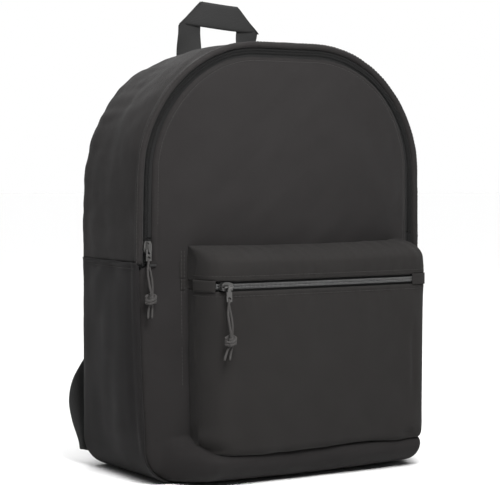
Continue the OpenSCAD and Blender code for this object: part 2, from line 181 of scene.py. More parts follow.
class Nodes:
    """A node tree under construction, with short ways to add and join nodes."""

    def __init__(self, tree: bpy.types.NodeTree) -> None:
        """Starts on an empty tree."""
        self.tree = tree
        self.place = 0

    def add(self, kind: str, inputs: dict[str | int, object] | None = None,
            **settings: object) -> bpy.types.Node:
        """Adds a node.

        Args:
            kind: The node's type name.
            inputs: Values or sockets for its inputs, by name or number.
            **settings: Properties of the node.

        Returns:
            The new node.
        """
        node = self.tree.nodes.new(kind)
        self.place += 1
        node.location = (self.place % 8 * 190, -(self.place // 8) * 220)
        for key, value in settings.items():
            setattr(node, key, value)
        for key, value in (inputs or {}).items():
            if isinstance(value, bpy.types.NodeSocket):
                self.tree.links.new(value, node.inputs[key])
            else:
                node.inputs[key].default_value = value
        return node

    def math(self, operation: str, a: object, b: object = 0.0, c: object = 0.0) -> bpy.types.NodeSocket:
        """Adds a Math node and returns its output."""
        return self.add("ShaderNodeMath", {0: a, 1: b, 2: c}, operation=operation).outputs[0]

    def split(self, vector: bpy.types.NodeSocket) -> bpy.types.NodeOutputs:
        """Returns a vector's three parts."""
        return self.add("ShaderNodeSeparateXYZ", {0: vector}).outputs

    def noise(self, vector: object, scale: float, detail: float = 2.0,
              rough: float = 0.5) -> bpy.types.NodeSocket:
        """Adds a Noise Texture and returns its factor."""
        values = {"Vector": vector, "Scale": scale, "Detail": detail, "Roughness": rough}
        return self.add("ShaderNodeTexNoise", values).outputs["Fac"]

    def between(self, value: object, low: float, high: float, to_low: float,
                to_high: float) -> bpy.types.NodeSocket:
        """Maps a value from one range to another, clamped."""
        ranges = {"Value": value, "From Min": low, "From Max": high, "To Min": to_low, "To Max": to_high}
        return self.add("ShaderNodeMapRange", ranges).outputs[0]

    def tint(self, factor: object, a: object, b: object, blend: str = "MIX") -> bpy.types.NodeSocket:
        """Mixes two colours and returns the result."""
        node = self.add("ShaderNodeMix", data_type="RGBA", blend_type=blend)
        for socket, value in ((node.inputs[0], factor), (node.inputs[6], a), (node.inputs[7], b)):
            if isinstance(value, bpy.types.NodeSocket):
                self.tree.links.new(value, socket)
            else:
                socket.default_value = value
        return node.outputs[2]


def new_group(name: str, takes: dict[str, str],
              gives: dict[str, str]) -> tuple[Nodes, bpy.types.Node, bpy.types.Node]:
    """Makes a shader node group with named sockets.

    Args:
        name: The group's name.
        takes: Socket types of its inputs, by name.
        gives: Socket types of its outputs, by name.

    Returns:
        The nodes under construction, the group's input node and its output node.
    """
    tree = bpy.data.node_groups.new(name, "ShaderNodeTree")
    for label, kind in takes.items():
        tree.interface.new_socket(label, in_out="INPUT", socket_type=kind)
    for label, kind in gives.items():
        tree.interface.new_socket(label, in_out="OUTPUT", socket_type=kind)
    n = Nodes(tree)
    return n, n.add("NodeGroupInput"), n.add("NodeGroupOutput")


def weave_group() -> bpy.types.NodeTree:
    """Makes the plain weave: yarns over and under each other, with their irregular thickness."""
    n, i, o = new_group(
        "Weave",
        {"Vector": "NodeSocketVector", "Pitch": "NodeSocketFloat"},
        {"Height": "NodeSocketFloat", "Yarn": "NodeSocketFloat"},
    )
    part = n.split(i.outputs["Vector"])
    turn = n.math("DIVIDE", 2 * math.pi, i.outputs["Pitch"])
    slub = n.noise(i.outputs["Vector"], 900.0, 2.0)
    warp = n.math("MULTIPLY_ADD", part[0], turn, n.math("MULTIPLY", slub, 2.2))
    weft = n.math("MULTIPLY_ADD", part[1], turn, n.math("MULTIPLY", slub, -2.2))
    warp_round = n.math("MULTIPLY_ADD", n.math("COSINE", warp), 0.5, 0.5)
    weft_round = n.math("MULTIPLY_ADD", n.math("COSINE", weft), 0.5, 0.5)
    check = n.math("MULTIPLY", n.math("COSINE", n.math("MULTIPLY", warp, 0.5)),
                   n.math("COSINE", n.math("MULTIPLY", weft, 0.5)))
    over = n.math("MULTIPLY_ADD", check, 0.5, 0.5)
    under = n.math("SUBTRACT", 1.0, over)
    height = n.math("ADD", n.math("MULTIPLY", warp_round, over), n.math("MULTIPLY", weft_round, under))
    n.tree.links.new(height, o.inputs["Height"])
    n.tree.links.new(n.between(slub, 0.3, 0.7, 0.0, 1.0), o.inputs["Yarn"])
    return n.tree


def rib_group() -> bpy.types.NodeTree:
    """Makes the face of woven webbing: ribs across it, broken into cells along it."""
    n, i, o = new_group(
        "Webbing ribs",
        {"Vector": "NodeSocketVector", "Rib": "NodeSocketFloat", "Cell": "NodeSocketFloat"},
        {"Height": "NodeSocketFloat"},
    )
    part = n.split(i.outputs["Vector"])
    along = n.math("MULTIPLY", part[0], n.math("DIVIDE", 2 * math.pi, i.outputs["Rib"]))
    across = n.math("MULTIPLY", part[1], n.math("DIVIDE", 2 * math.pi, i.outputs["Cell"]))
    lean = n.math("ADD", along, n.math("MULTIPLY", n.math("SIGN", n.math("SINE", across)), 1.6))
    rib = n.math("MULTIPLY_ADD", n.math("SINE", lean), 0.5, 0.5)
    cell = n.math("ABSOLUTE", n.math("SINE", across))
    height = n.math("MULTIPLY", rib, n.math("POWER", cell, 0.4))
    fuzz = n.math("MULTIPLY", n.noise(i.outputs["Vector"], 2600.0, 3.0), 0.25)
    n.tree.links.new(n.math("ADD", height, fuzz), o.inputs["Height"])
    return n.tree


def wear_group() -> bpy.types.NodeTree:
    """Makes the paler, duller look of cloth where it is folded or handled, with a trace of lint."""
    n, i, o = new_group(
        "Wear and lint",
        {"Color": "NodeSocketColor", "Vector": "NodeSocketVector", "Amount": "NodeSocketFloat"},
        {"Color": "NodeSocketColor", "Roughness": "NodeSocketFloat"},
    )
    worn = n.add("ShaderNodeAttribute", attribute_name="worn").outputs["Fac"]
    patchy = n.between(n.noise(i.outputs["Vector"], 240.0, 4.0), 0.35, 0.7, 0.0, 1.0)
    mask = n.math("MULTIPLY", n.math("MULTIPLY", worn, patchy), i.outputs["Amount"])
    pale = n.tint(1.0, i.outputs["Color"], (2.1, 2.05, 2.0, 1.0), "MULTIPLY")
    edged = n.tint(mask, i.outputs["Color"], pale)
    lint = n.between(n.noise(i.outputs["Vector"], 1500.0, 1.0), 0.74, 0.8, 0.0, 0.16)
    dusted = n.tint(n.math("MULTIPLY", lint, i.outputs["Amount"]), edged, (0.32, 0.31, 0.29, 1.0))
    n.tree.links.new(dusted, o.inputs["Color"])
    cloudy = n.between(n.noise(i.outputs["Vector"], 30.0, 3.0), 0.3, 0.7, 0.72, 0.88)
    n.tree.links.new(cloudy, o.inputs["Roughness"])
    return n.tree


def grain_group() -> bpy.types.NodeTree:
    """Makes the fine spark-eroded grain of moulded plastic or the pitting of cast metal."""
    n, i, o = new_group(
        "Grain",
        {"Vector": "NodeSocketVector", "Size": "NodeSocketFloat"},
        {"Height": "NodeSocketFloat", "Mask": "NodeSocketFloat"},
    )
    fine = n.add("ShaderNodeTexNoise", {"Vector": i.outputs["Vector"], "Detail": 3.0})
    n.tree.links.new(n.math("DIVIDE", 1.0, i.outputs["Size"]), fine.inputs["Scale"])
    n.tree.links.new(fine.outputs["Fac"], o.inputs["Height"])
    broad = n.noise(i.outputs["Vector"], 120.0, 3.0)
    n.tree.links.new(n.between(broad, 0.35, 0.65, 0.0, 1.0), o.inputs["Mask"])
    return n.tree


@dataclass(frozen=True)
class Look:
    """One finish: its colour, its pattern and how it takes the light."""

    color: tuple[float, float, float]
    pattern: str = "weave"
    pitch: float = 0.6 * MM
    depth: float = 0.12 * MM
    rough: float = 0.8
    sheen: float = 0.03
    gloss: float = 0.07
    metallic: float = 0.0
    wear: float = 0.35


LOOKS: dict[Finish, Look] = {
    Finish.BODY: Look((0.0150, 0.0139, 0.0138)),
    Finish.BASE: Look((0.0095, 0.0089, 0.0091)),
    Finish.POCKET: Look((0.0148, 0.0138, 0.0133)),
    Finish.MESH: Look((0.022, 0.022, 0.023), pattern="mesh", pitch=3.2 * MM, depth=0.7 * MM, sheen=0.2),
    Finish.LINING: Look((0.03, 0.03, 0.031), pitch=0.35 * MM, depth=0.04 * MM, rough=0.6),
    Finish.FOAM: Look((0.05, 0.05, 0.052), pattern="grain", pitch=0.4 * MM, depth=0.2 * MM, sheen=0.0),
    Finish.BINDING: Look((0.013, 0.013, 0.013), pattern="ribs", pitch=0.9 * MM, depth=0.15 * MM),
    Finish.TAPE: Look((0.012, 0.012, 0.012), pattern="ribs", pitch=0.8 * MM, depth=0.12 * MM, wear=0.1),
    Finish.COIL: Look((0.05, 0.05, 0.05), pattern="grain", pitch=0.3 * MM, depth=0.02 * MM, rough=0.3,
                      sheen=0.0, gloss=0.6),
    Finish.STOP: Look((0.02, 0.02, 0.02), pattern="grain", pitch=0.4 * MM, depth=0.05 * MM, rough=0.6,
                      sheen=0.0),
    Finish.METAL: Look((0.13, 0.128, 0.125), pattern="grain", pitch=0.5 * MM, depth=0.03 * MM, rough=0.3,
                       sheen=0.0, gloss=0.5, metallic=0.9, wear=0.6),
    Finish.CORD: Look((0.042, 0.040, 0.039), pattern="ribs", pitch=0.7 * MM, depth=0.2 * MM, wear=0.3),
    Finish.WEBBING: Look((0.027, 0.027, 0.027), pattern="ribs", pitch=1.5 * MM, depth=0.3 * MM, rough=0.7,
                         wear=0.4),
    Finish.STRAP: Look((0.0150, 0.0142, 0.0142)),
    Finish.PLASTIC: Look((0.025, 0.025, 0.026), pattern="grain", pitch=0.25 * MM, depth=0.03 * MM, rough=0.42,
                         sheen=0.0, gloss=0.45),
}


class Wardrobe:
    """Builds the shared node groups once and each finish's material from them."""

    def __init__(self) -> None:
        """Makes the groups and the materials."""
        self.groups = {"weave": weave_group(), "ribs": rib_group(), "wear": wear_group(),
                       "grain": grain_group()}
        self.materials = {finish: self.material(finish, look) for finish, look in LOOKS.items()}

    def group(self, n: Nodes, name: str, inputs: dict[str, object]) -> bpy.types.NodeOutputs:
        """Places a shared group in a material and returns its outputs."""
        node = n.add("ShaderNodeGroup")
        node.node_tree = self.groups[name]
        for key, value in inputs.items():
            if isinstance(value, bpy.types.NodeSocket):
                n.tree.links.new(value, node.inputs[key])
            else:
                node.inputs[key].default_value = value
        return node.outputs

    def height(self, n: Nodes, look: Look, uv: bpy.types.NodeSocket,
               place: bpy.types.NodeSocket) -> bpy.types.NodeSocket:
        """Adds a finish's surface pattern and returns its height."""
        if look.pattern == "weave":
            return self.group(n, "weave", {"Vector": uv, "Pitch": look.pitch})["Height"]
        if look.pattern == "ribs":
            return self.group(n, "ribs",
                              {"Vector": uv, "Rib": look.pitch, "Cell": look.pitch * 2.2})["Height"]
        if look.pattern == "mesh":
            cells = n.add("ShaderNodeTexVoronoi", {"Vector": uv, "Scale": 1 / look.pitch, "Randomness": 0.18})
            return n.between(cells.outputs["Distance"], 0.18, 0.5, 0.0, 1.0)
        return self.group(n, "grain", {"Vector": place, "Size": look.pitch})["Height"]

    def material(self, finish: Finish, look: Look) -> bpy.types.Material:
        """Builds one finish's material.

        Args:
            finish: The finish, which names the material.
            look: What it looks like.

        Returns:
            The material.
        """
        made = bpy.data.materials.new(finish.value)
        made.use_nodes = True
        made.node_tree.nodes.clear()
        n = Nodes(made.node_tree)
        coords = n.add("ShaderNodeTexCoord").outputs
        uv, place = coords["UV"], coords["Object"]
        height = self.height(n, look, uv, place)
        base = (*look.color, 1.0)
        # Painted shade: the colour darkens at the low points of the surface pattern (between yarns, ribs or
        # grains), mixed with the fibre's own random tone
        groove_shade_color = tuple(c * 0.72 for c in look.color) + (1.0,)
        fibre = n.noise(place, 1900.0, 2.0)
        groove_shade_and_fibre_tone = n.math("ADD", n.math("MULTIPLY", height, 0.6), n.math("MULTIPLY", fibre, 0.4))
        yarn = n.tint(n.between(groove_shade_and_fibre_tone, 0.1, 0.75, 0.0, 1.0), groove_shade_color, base)
        cloudy = n.tint(n.between(n.noise(place, 14.0, 3.0), 0.3, 0.7, 0.0, 0.12), yarn,
                        tuple(c * 1.5 for c in look.color) + (1.0,))
        worn = self.group(n, "wear", {"Color": cloudy, "Vector": place, "Amount": look.wear})
        rough = n.math("MULTIPLY", worn["Roughness"], look.rough / 0.8)
        bump = n.add("ShaderNodeBump", {"Strength": 0.8, "Distance": look.depth, "Height": height})
        shader = n.add("ShaderNodeBsdfPrincipled", {"Base Color": worn["Color"], "Roughness": rough,
                                                    "Normal": bump.outputs[0]})
        shader.inputs["Metallic"].default_value = look.metallic
        shader.inputs["Sheen Weight"].default_value = look.sheen
        shader.inputs["Sheen Roughness"].default_value = 0.5
        shader.inputs["Specular IOR Level"].default_value = look.gloss
        out = n.add("ShaderNodeOutputMaterial")
        n.tree.links.new(shader.outputs[0], out.inputs[0])
        return made

    def dress(self, piece: bpy.types.Object, finish: Finish) -> None:
        """Gives a piece one finish all over."""
        piece.data.materials.clear()
        piece.data.materials.append(self.materials[finish])


# ---- making meshes -----------------------------------------------------------------------------


def put_in_scene(name: str, verts: Grid, faces: Grid | list, uvs: Grid | None = None) -> bpy.types.Object:
    """Makes an object from points and faces.

    Args:
        name: The piece's name.
        verts: Its points.
        faces: Its faces, as point numbers.
        uvs: One pair of numbers for each point, in metres over the cloth.

    Returns:
        The new object, smooth shaded.
    """
    mesh = bpy.data.meshes.new(name)
    mesh.from_pydata(np.asarray(verts).reshape(-1, 3).tolist(), [], [list(map(int, f)) for f in faces])
    mesh.polygons.foreach_set("use_smooth", [True] * len(mesh.polygons))
    if uvs is not None:
        loops = np.zeros(len(mesh.loops), int)
        mesh.loops.foreach_get("vertex_index", loops)
        layer = mesh.uv_layers.new(name="UVMap")
        layer.data.foreach_set("uv", np.asarray(uvs).reshape(-1, 2)[loops].ravel())
    piece = bpy.data.objects.new(name, mesh)
    bpy.context.scene.collection.objects.link(piece)
    return piece


def grid_faces(rows: int, columns: int, round_rows: bool = False) -> Grid:
    """Returns the quads of a grid of points; with round_rows each row closes on itself."""
    i, j = np.meshgrid(np.arange(rows - 1), np.arange(columns if round_rows else columns - 1), indexing="ij")
    k = (j + 1) % columns
    return np.stack([i * columns + j, i * columns + k, (i + 1) * columns + k, (i + 1) * columns + j],
                    -1).reshape(-1, 4)


def normals_of(points: Grid) -> Grid:
    """Returns the unit normals of a grid of points."""
    du = np.gradient(points, axis=0)
    dv = np.gradient(points, axis=1)
    return unit(np.cross(dv, du))


def cloth_uv(points: Grid) -> Grid:
    """Returns metres along the rows and along the columns of a grid of points."""
    du = np.concatenate([np.zeros((1, points.shape[1])), np.linalg.norm(np.diff(points, axis=0), axis=2)])
    dv = np.concatenate([np.zeros((points.shape[0], 1)), np.linalg.norm(np.diff(points, axis=1), axis=2)],
                        axis=1)
    middle = points.shape[1] // 2
    v = np.cumsum(dv, axis=1)
    v = v - v[:, middle : middle + 1]
    u = np.cumsum(np.repeat(du[:, middle : middle + 1], points.shape[1], axis=1), axis=0)
    return np.stack([u, v], axis=-1)


def apply_all(piece: bpy.types.Object) -> None:
    """Applies every modifier on a piece."""
    bpy.ops.object.select_all(action="DESELECT")
    bpy.context.view_layer.objects.active = piece
    piece.select_set(True)
    for modifier in list(piece.modifiers):
        bpy.ops.object.modifier_apply(modifier=modifier.name)
    piece.select_set(False)


# A point inside the bag, which tells a sheet's outer side from its inner side
INSIDE = np.array([0.0, 0.006, 0.2])


def make_sheet(name: str, points: Grid, thick: float, worn: Grid | None = None) -> bpy.types.Object:
    """Makes a sheet of cloth from a grid of points on its outer face, which faces away from the bag's inside.

    Args:
        name: The piece's name.
        points: The grid, with rows across the sheet.
        thick: The cloth's thickness, which goes inwards.
        worn: How far each point is folded or handled, from 0 to 1.

    Returns:
        The sheet, closed all round.
    """
    du, dv = np.gradient(points, axis=0), np.gradient(points, axis=1)
    if np.sum(np.cross(du, dv) * (points - INSIDE)) > 0:
        points = points[:, ::-1]
        worn = None if worn is None else worn[:, ::-1]
    rows, columns = points.shape[:2]
    sheet = put_in_scene(name, points, grid_faces(rows, columns), cloth_uv(points))
    mark_worn(sheet, worn)
    solid = sheet.modifiers.new("Thickness", "SOLIDIFY")
    solid.thickness = thick
    solid.offset = -1.0
    solid.use_even_offset = False
    apply_all(sheet)
    return sheet


def mark_worn(piece: bpy.types.Object, worn: Grid | None) -> None:
    """Stores how far each point of a piece is worn."""
    if worn is not None:
        layer = piece.data.attributes.new("worn", "FLOAT", "POINT")
        layer.data.foreach_set("value", np.clip(worn, 0, 1).astype(np.float32).ravel())


def make_tube(name: str, line: Grid, radius: Grid | float, sides: int = 12) -> bpy.types.Object:
    """Makes a round closed tube along a line, with its length and girth as UV."""
    up = np.tile(np.array([0.0, 1.0, 0.0]), (len(line), 1))
    forward = unit(np.gradient(line, axis=0))
    side = np.zeros_like(line)
    side[0] = unit(np.cross(up[0], forward[0]) + 1e-9)
    for i in range(1, len(line)):
        side[i] = unit(side[i - 1] - forward[i] * np.dot(side[i - 1], forward[i]))
    lift = np.cross(forward, side)
    turn = np.linspace(0, 2 * math.pi, sides, endpoint=False)
    r = np.broadcast_to(np.asarray(radius, float), (len(line),))[:, None, None]
    rings = line[:, None] + r * (side[:, None] * np.cos(turn)[None, :, None]
                                 + lift[:, None] * np.sin(turn)[None, :, None])
    run = run_along(line)
    girth = turn * float(np.max(radius))
    uv = np.stack(np.meshgrid(run, girth, indexing="ij"), -1)
    count = len(line) * sides
    verts = np.vstack([rings.reshape(-1, 3), line[:1], line[-1:]])
    faces = [list(f) for f in grid_faces(len(line), sides, True)]
    for j in range(sides):
        faces.append([count, (j + 1) % sides, j])
        faces.append([count + 1, count - sides + j, count - sides + (j + 1) % sides])
    uvs = np.vstack([uv.reshape(-1, 2), [[0, 0]], [[run[-1], 0]]])
    return put_in_scene(name, verts, [f[::-1] for f in faces], uvs)


def bead(length: float, radius: float, bow: float = 0.0, sides: int = 6) -> tuple[Grid, list]:
    """Makes a small rounded rod, bowed upwards in its middle.

    Args:
        length: Its length, along X.
        radius: Its radius.
        bow: How far its middle stands above its ends, along Z.
        sides: How many sides it has.

    Returns:
        Its points and faces.
    """
    stations = np.array([-0.5, -0.42, -0.15, 0.15, 0.42, 0.5])
    widths = np.array([0.35, 0.85, 1.0, 1.0, 0.85, 0.35]) * radius
    turn = np.linspace(0, 2 * math.pi, sides, endpoint=False)
    rings = [
        np.stack([np.full(sides, s * length), w * np.cos(turn), w * np.sin(turn) + bow * (1 - 4 * s * s)], -1)
        for s, w in zip(stations, widths)
    ]
    faces = [list(f) for f in grid_faces(len(stations), sides, True)]
    last = (len(stations) - 1) * sides
    faces.append(list(range(sides))[::-1])
    faces.append([last + k for k in range(sides)])
    return np.vstack(rings), faces


def scatter(name: str, shape: tuple[Grid, list], places: Grid, turns: Grid) -> bpy.types.Object:
    """Makes one piece of many copies of a small shape.

    Args:
        name: The piece's name.
        shape: The points and faces of one copy.
        places: Where each copy is.
        turns: How each copy is turned, as a matrix of columns.

    Returns:
        The piece.
    """
    points, faces = shape
    verts = np.einsum("nij,kj->nki", turns, points) + places[:, None]
    step = len(points)
    all_faces = [[v + step * n for v in f] for n in range(len(places)) for f in faces]
    uv = np.tile(points[:, :2], (len(places), 1))
    return put_in_scene(name, verts, all_faces, uv)


@dataclass
class SewingBox:
    """Rows of stitches, gathered by the body they ride on and sewn in at the end."""

    length: float = 2.7 * MM
    pitch: float = 3.6 * MM
    thread: float = 0.27 * MM
    rows: dict[str, list[tuple[Grid, Grid]]] = field(default_factory=dict)

    def sew(self, body: str, line: Grid, normal: Grid) -> None:
        """Adds a row of stitches along a line on a surface with that normal."""
        run = run_along(line)
        count = int(run[-1] / self.pitch)
        at = (np.arange(count) + 0.5) * self.pitch
        places = np.stack([np.interp(at, run, line[:, k]) for k in range(3)], -1)
        ups = unit(np.stack([np.interp(at, run, normal[:, k]) for k in range(3)], -1))
        ahead = np.stack([np.interp(at + MM, run, line[:, k]) for k in range(3)], -1)
        forward = unit(ahead - places + 1e-12)
        side = unit(np.cross(ups, forward))
        turns = np.stack([forward, side, np.cross(forward, side)], axis=-1)
        self.rows.setdefault(body, []).append((places + ups * self.thread * 0.35, turns))

    def finish(self, wardrobe: Wardrobe) -> None:
        """Makes one piece of thread for each body."""
        for body, rows in self.rows.items():
            places = np.vstack([r[0] for r in rows])
            turns = np.concatenate([r[1] for r in rows])
            thread = scatter(f"thread_{body}", bead(self.length, self.thread, 0.12 * MM, 5), places, turns)
            wardrobe.dress(thread, Finish.CORD)
            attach(thread, body)
            LOG.info("%s: %d stitches", thread.name, len(places))


# ---- the bag's body ----------------------------------------------------------------------------


@dataclass
class Bag:
    """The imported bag's main sizes, and the outline that its panels share."""

    top_r: float = 118 * MM
    base_r: float = 30 * MM
    bulge: float = 22 * MM
    seam_z: float = 200 * MM
    fold_z: float = 222 * MM
    flap_inset: float = 12.2 * MM
    zip_inset: float = 7.6 * MM
    back_drop: float = 7 * MM

    def __post_init__(self) -> None:
        """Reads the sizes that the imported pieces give."""
        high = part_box("back_panel")[1]
        self.half, self.tall, self.back = high.x, high.z, high.y
        self.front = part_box("left_side_panel")[0].y
        self.knee = self.tall - self.top_r

    def inside(self, x: Grid, z: Grid) -> Grid:
        """Returns how deep points of the front lie inside its outline."""
        ax = np.abs(x)
        top = self.top_r - np.hypot(ax - (self.half - self.top_r), z - self.knee)
        low = self.base_r - np.hypot(ax - (self.half - self.base_r), self.base_r - z)
        plain = np.minimum(self.half - ax, np.minimum(self.tall - z, z))
        in_top = (ax > self.half - self.top_r) & (z > self.knee)
        in_low = (ax > self.half - self.base_r) & (z < self.base_r)
        return np.where(in_top, top, np.where(in_low, low, plain))

    def half_width(self, z: Grid, inset: Grid) -> Grid:
        """Returns half the width of the outline at a height, less an inset."""
        r_top, r_low = self.top_r - inset, self.base_r - inset
        up = np.clip(z - self.knee, 0, r_top)
        down = np.clip(self.base_r - z, 0, r_low)
        cut_top = r_top - np.sqrt(np.maximum(r_top**2 - up**2, 0))
        cut_low = r_low - np.sqrt(np.maximum(r_low**2 - down**2, 0))
        return self.half - inset - cut_top - cut_low

    def front_at(self, x: Grid) -> Grid:
        """Returns where the plain front lies at a distance from its middle."""
        return self.front - self.bulge * (1 - (np.asarray(x) / self.half) ** 2)

    def swell(self, points: Grid) -> Grid:
        """Returns points pushed out as a full bag pushes its front corners out and its edges back."""
        x, y, z = points[..., 0], points[..., 1], points[..., 2]
        high = np.sin(np.pi * np.clip(z / self.tall, 0, 1)) ** 1.2
        fore = smooth((self.back - y) / (self.back - self.front))
        corner = np.clip(np.abs(x) / self.half, 0, 1.2) ** 4 * high * fore
        return np.stack([x + np.sign(x) * 5.5 * MM * corner, y + 4.0 * MM * corner, z], -1)

    def settle(self, points: Grid) -> Grid:
        """Returns points of the body as they lie when its back sinks a little under the arch."""
        x, y, z = points[..., 0], points[..., 1], points[..., 2]
        share = (smooth((y - self.front) / (self.back - self.front))
                 * smooth((z - 0.23) / 0.12) * self.back_drop)
        return self.swell(np.stack([x * (1 - share / self.half), y,
                                    z - share * (z - self.seam_z) / self.seam_z], -1))

    def outline(self, low: bool, start: float | None = None, step: float = 2.6 * MM) -> tuple[Grid, Grid]:
        """Returns half of the outline, from the left side seam to the right.

        Args:
            low: Whether it runs round the base or over the top.
            start: The height of its two ends, where that isn't the side seam.
            step: The distance between its points.

        Returns:
            Its points (x, z) and their outward normals.
        """
        r = self.base_r if low else self.top_r
        knee = self.base_r if low else self.knee
        turn = np.linspace(0, math.pi / 2, 40)
        sign = -1.0 if low else 1.0
        left = np.stack([-(self.half - r) - r * np.cos(turn), knee + sign * r * np.sin(turn)], -1)
        right = left[::-1] * [-1, 1]
        end = start or self.seam_z
        line = np.vstack([[-self.half, end], left, right, [self.half, end]])
        line = evenly(line, step)
        forward = unit(np.gradient(line, axis=0))
        normal = np.stack([-forward[:, 1], forward[:, 0]], -1) * sign
        return line, normal


@dataclass
class FrontCloth:
    """The front's cloth: the zipped flap above, the panel that carries the pocket below."""

    bag: Bag
    wardrobe: Wardrobe
    box: SewingBox
    columns: int = 190
    crease: float = 31 * MM

    def inset(self, z: Grid) -> Grid:
        """Returns how far the cloth's edge is inside the bag's outline."""
        return 1.8 * MM + (self.bag.flap_inset - 1.8 * MM) * smooth((z - 0.191) / 0.011)

    def belly(self, x: Grid, z: Grid) -> Grid:
        """Returns how the cloth below the pocket stands out as far as its face, then rolls under the bag."""
        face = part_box("pocket_front")[0].y + 3.5 * MM
        left_end, left_run, right_end, right_run = 136 * MM, 36 * MM, 143 * MM, 24 * MM
        share = smooth(np.where(x < 0, (x + left_end) / left_run, (right_end - x) / right_run))
        top, fade, tuck = 28 * MM, 16 * MM, 0.16
        share = share * (1 - smooth((z - top) / fade)) * (1 - tuck * hill(z, self.crease, 4 * MM))
        hem, round_full, round_plain, set_back = 1.2 * MM, 22 * MM, 26 * MM, 15 * MM
        under = np.sqrt(1 - (1 - np.clip((z - hem) / round_full, 0, 1)) ** 2)
        roll = set_back * (1 - np.sqrt(1 - (1 - np.clip(z / round_plain, 0, 1)) ** 2)) * (1 - share)
        return roll + share * under * (face - self.bag.front_at(x))

    def surface(self, x: Grid, z: Grid) -> Grid:
        """Returns how far front the cloth lies."""
        bag = self.bag
        crown = bag.tall - bag.flap_inset
        rise = np.clip((z - bag.fold_z) / (crown - bag.fold_z), 0, 1)
        swell = (1 - 0.98 * rise**2) ** 0.7
        depth = bag.bulge * (1 - (x / bag.half) ** 2) * swell
        deep = bag.inside(x, z)
        y = bag.front - depth + self.belly(x, z)
        edge = deep - self.inset(z)
        y += 2.6 * MM * np.exp(-np.maximum(edge, 0) / (1.3 * MM))
        y += 0.55 * MM * hill(edge, 4.2 * MM, 1.1 * MM) * smooth((z - 0.19) / 0.02)
        slack = Folds(3)
        calm = smooth(edge / (22 * MM))
        wave = slack.at(x, z * 0.8, 95 * MM, 3) * 3.4 * MM
        diagonal = slack.at((x + 0.8 * z) * 0.5, (z - 0.8 * x) * 1.6, 60 * MM, 2) * 1.3 * MM
        pucker = Folds(4).at(x * 2.0, z * 2.0, 16 * MM,
                             2) * 0.7 * MM * np.exp(-np.maximum(edge, 0) / (9 * MM))
        return y + (wave + diagonal) * calm + pucker

    def build(self) -> bpy.types.Object:
        """Makes the cloth and its topstitching."""
        bag = self.bag
        crown = bag.tall - bag.flap_inset
        r = bag.top_r - bag.flap_inset
        low = np.concatenate([1.4 * MM + 22 * MM * (1 - np.cos(np.linspace(0, math.pi / 2, 26))),
                              np.arange(25 * MM, 50 * MM, 1.6 * MM), np.arange(50 * MM, bag.knee, 2.4 * MM)])
        turn = np.linspace(0, math.pi / 2, 70)[1:]
        z = np.concatenate([low, bag.knee + r * np.sin(turn)])
        z[-1] = crown - 0.02 * MM
        t = np.linspace(-1, 1, self.columns)
        xi = np.sign(t) * (1 - (1 - np.abs(t)) ** 1.5)
        half = bag.half_width(z, self.inset(z))
        x = half[:, None] * xi[None, :]
        zz = np.repeat(z[:, None], len(xi), axis=1)
        y = self.surface(x, zz)
        points = bag.swell(np.stack([x, y, zz], -1))
        edge = bag.inside(x, zz) - self.inset(zz)
        worn = np.exp(-np.maximum(edge, 0) / (1.6 * MM)) * 0.9
        cloth = make_sheet("front_cloth", points, 1.0 * MM, worn)
        self.wardrobe.dress(cloth, Finish.BODY)
        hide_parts("front_panel", "front_flap")
        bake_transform(cloth)
        self.topstitch()
        LOG.info("%s: %.3f m wide", cloth.name, 2 * float(half.max()))
        return cloth

    def topstitch(self) -> None:
        """Sews the row just inside the flap's edge."""
        bag = self.bag
        line, normal = bag.outline(False)
        keep = line[:, 1] > bag.fold_z + 10 * MM
        seam = line[keep] - normal[keep] * (bag.flap_inset + 4.2 * MM)
        points = bag.swell(np.stack([seam[:, 0], self.surface(seam[:, 0], seam[:, 1]) - 0.05 * MM,
                                     seam[:, 1]], -1))
        self.box.sew("front_flap", points, np.tile([0.0, -1.0, 0.0], (len(points), 1)))


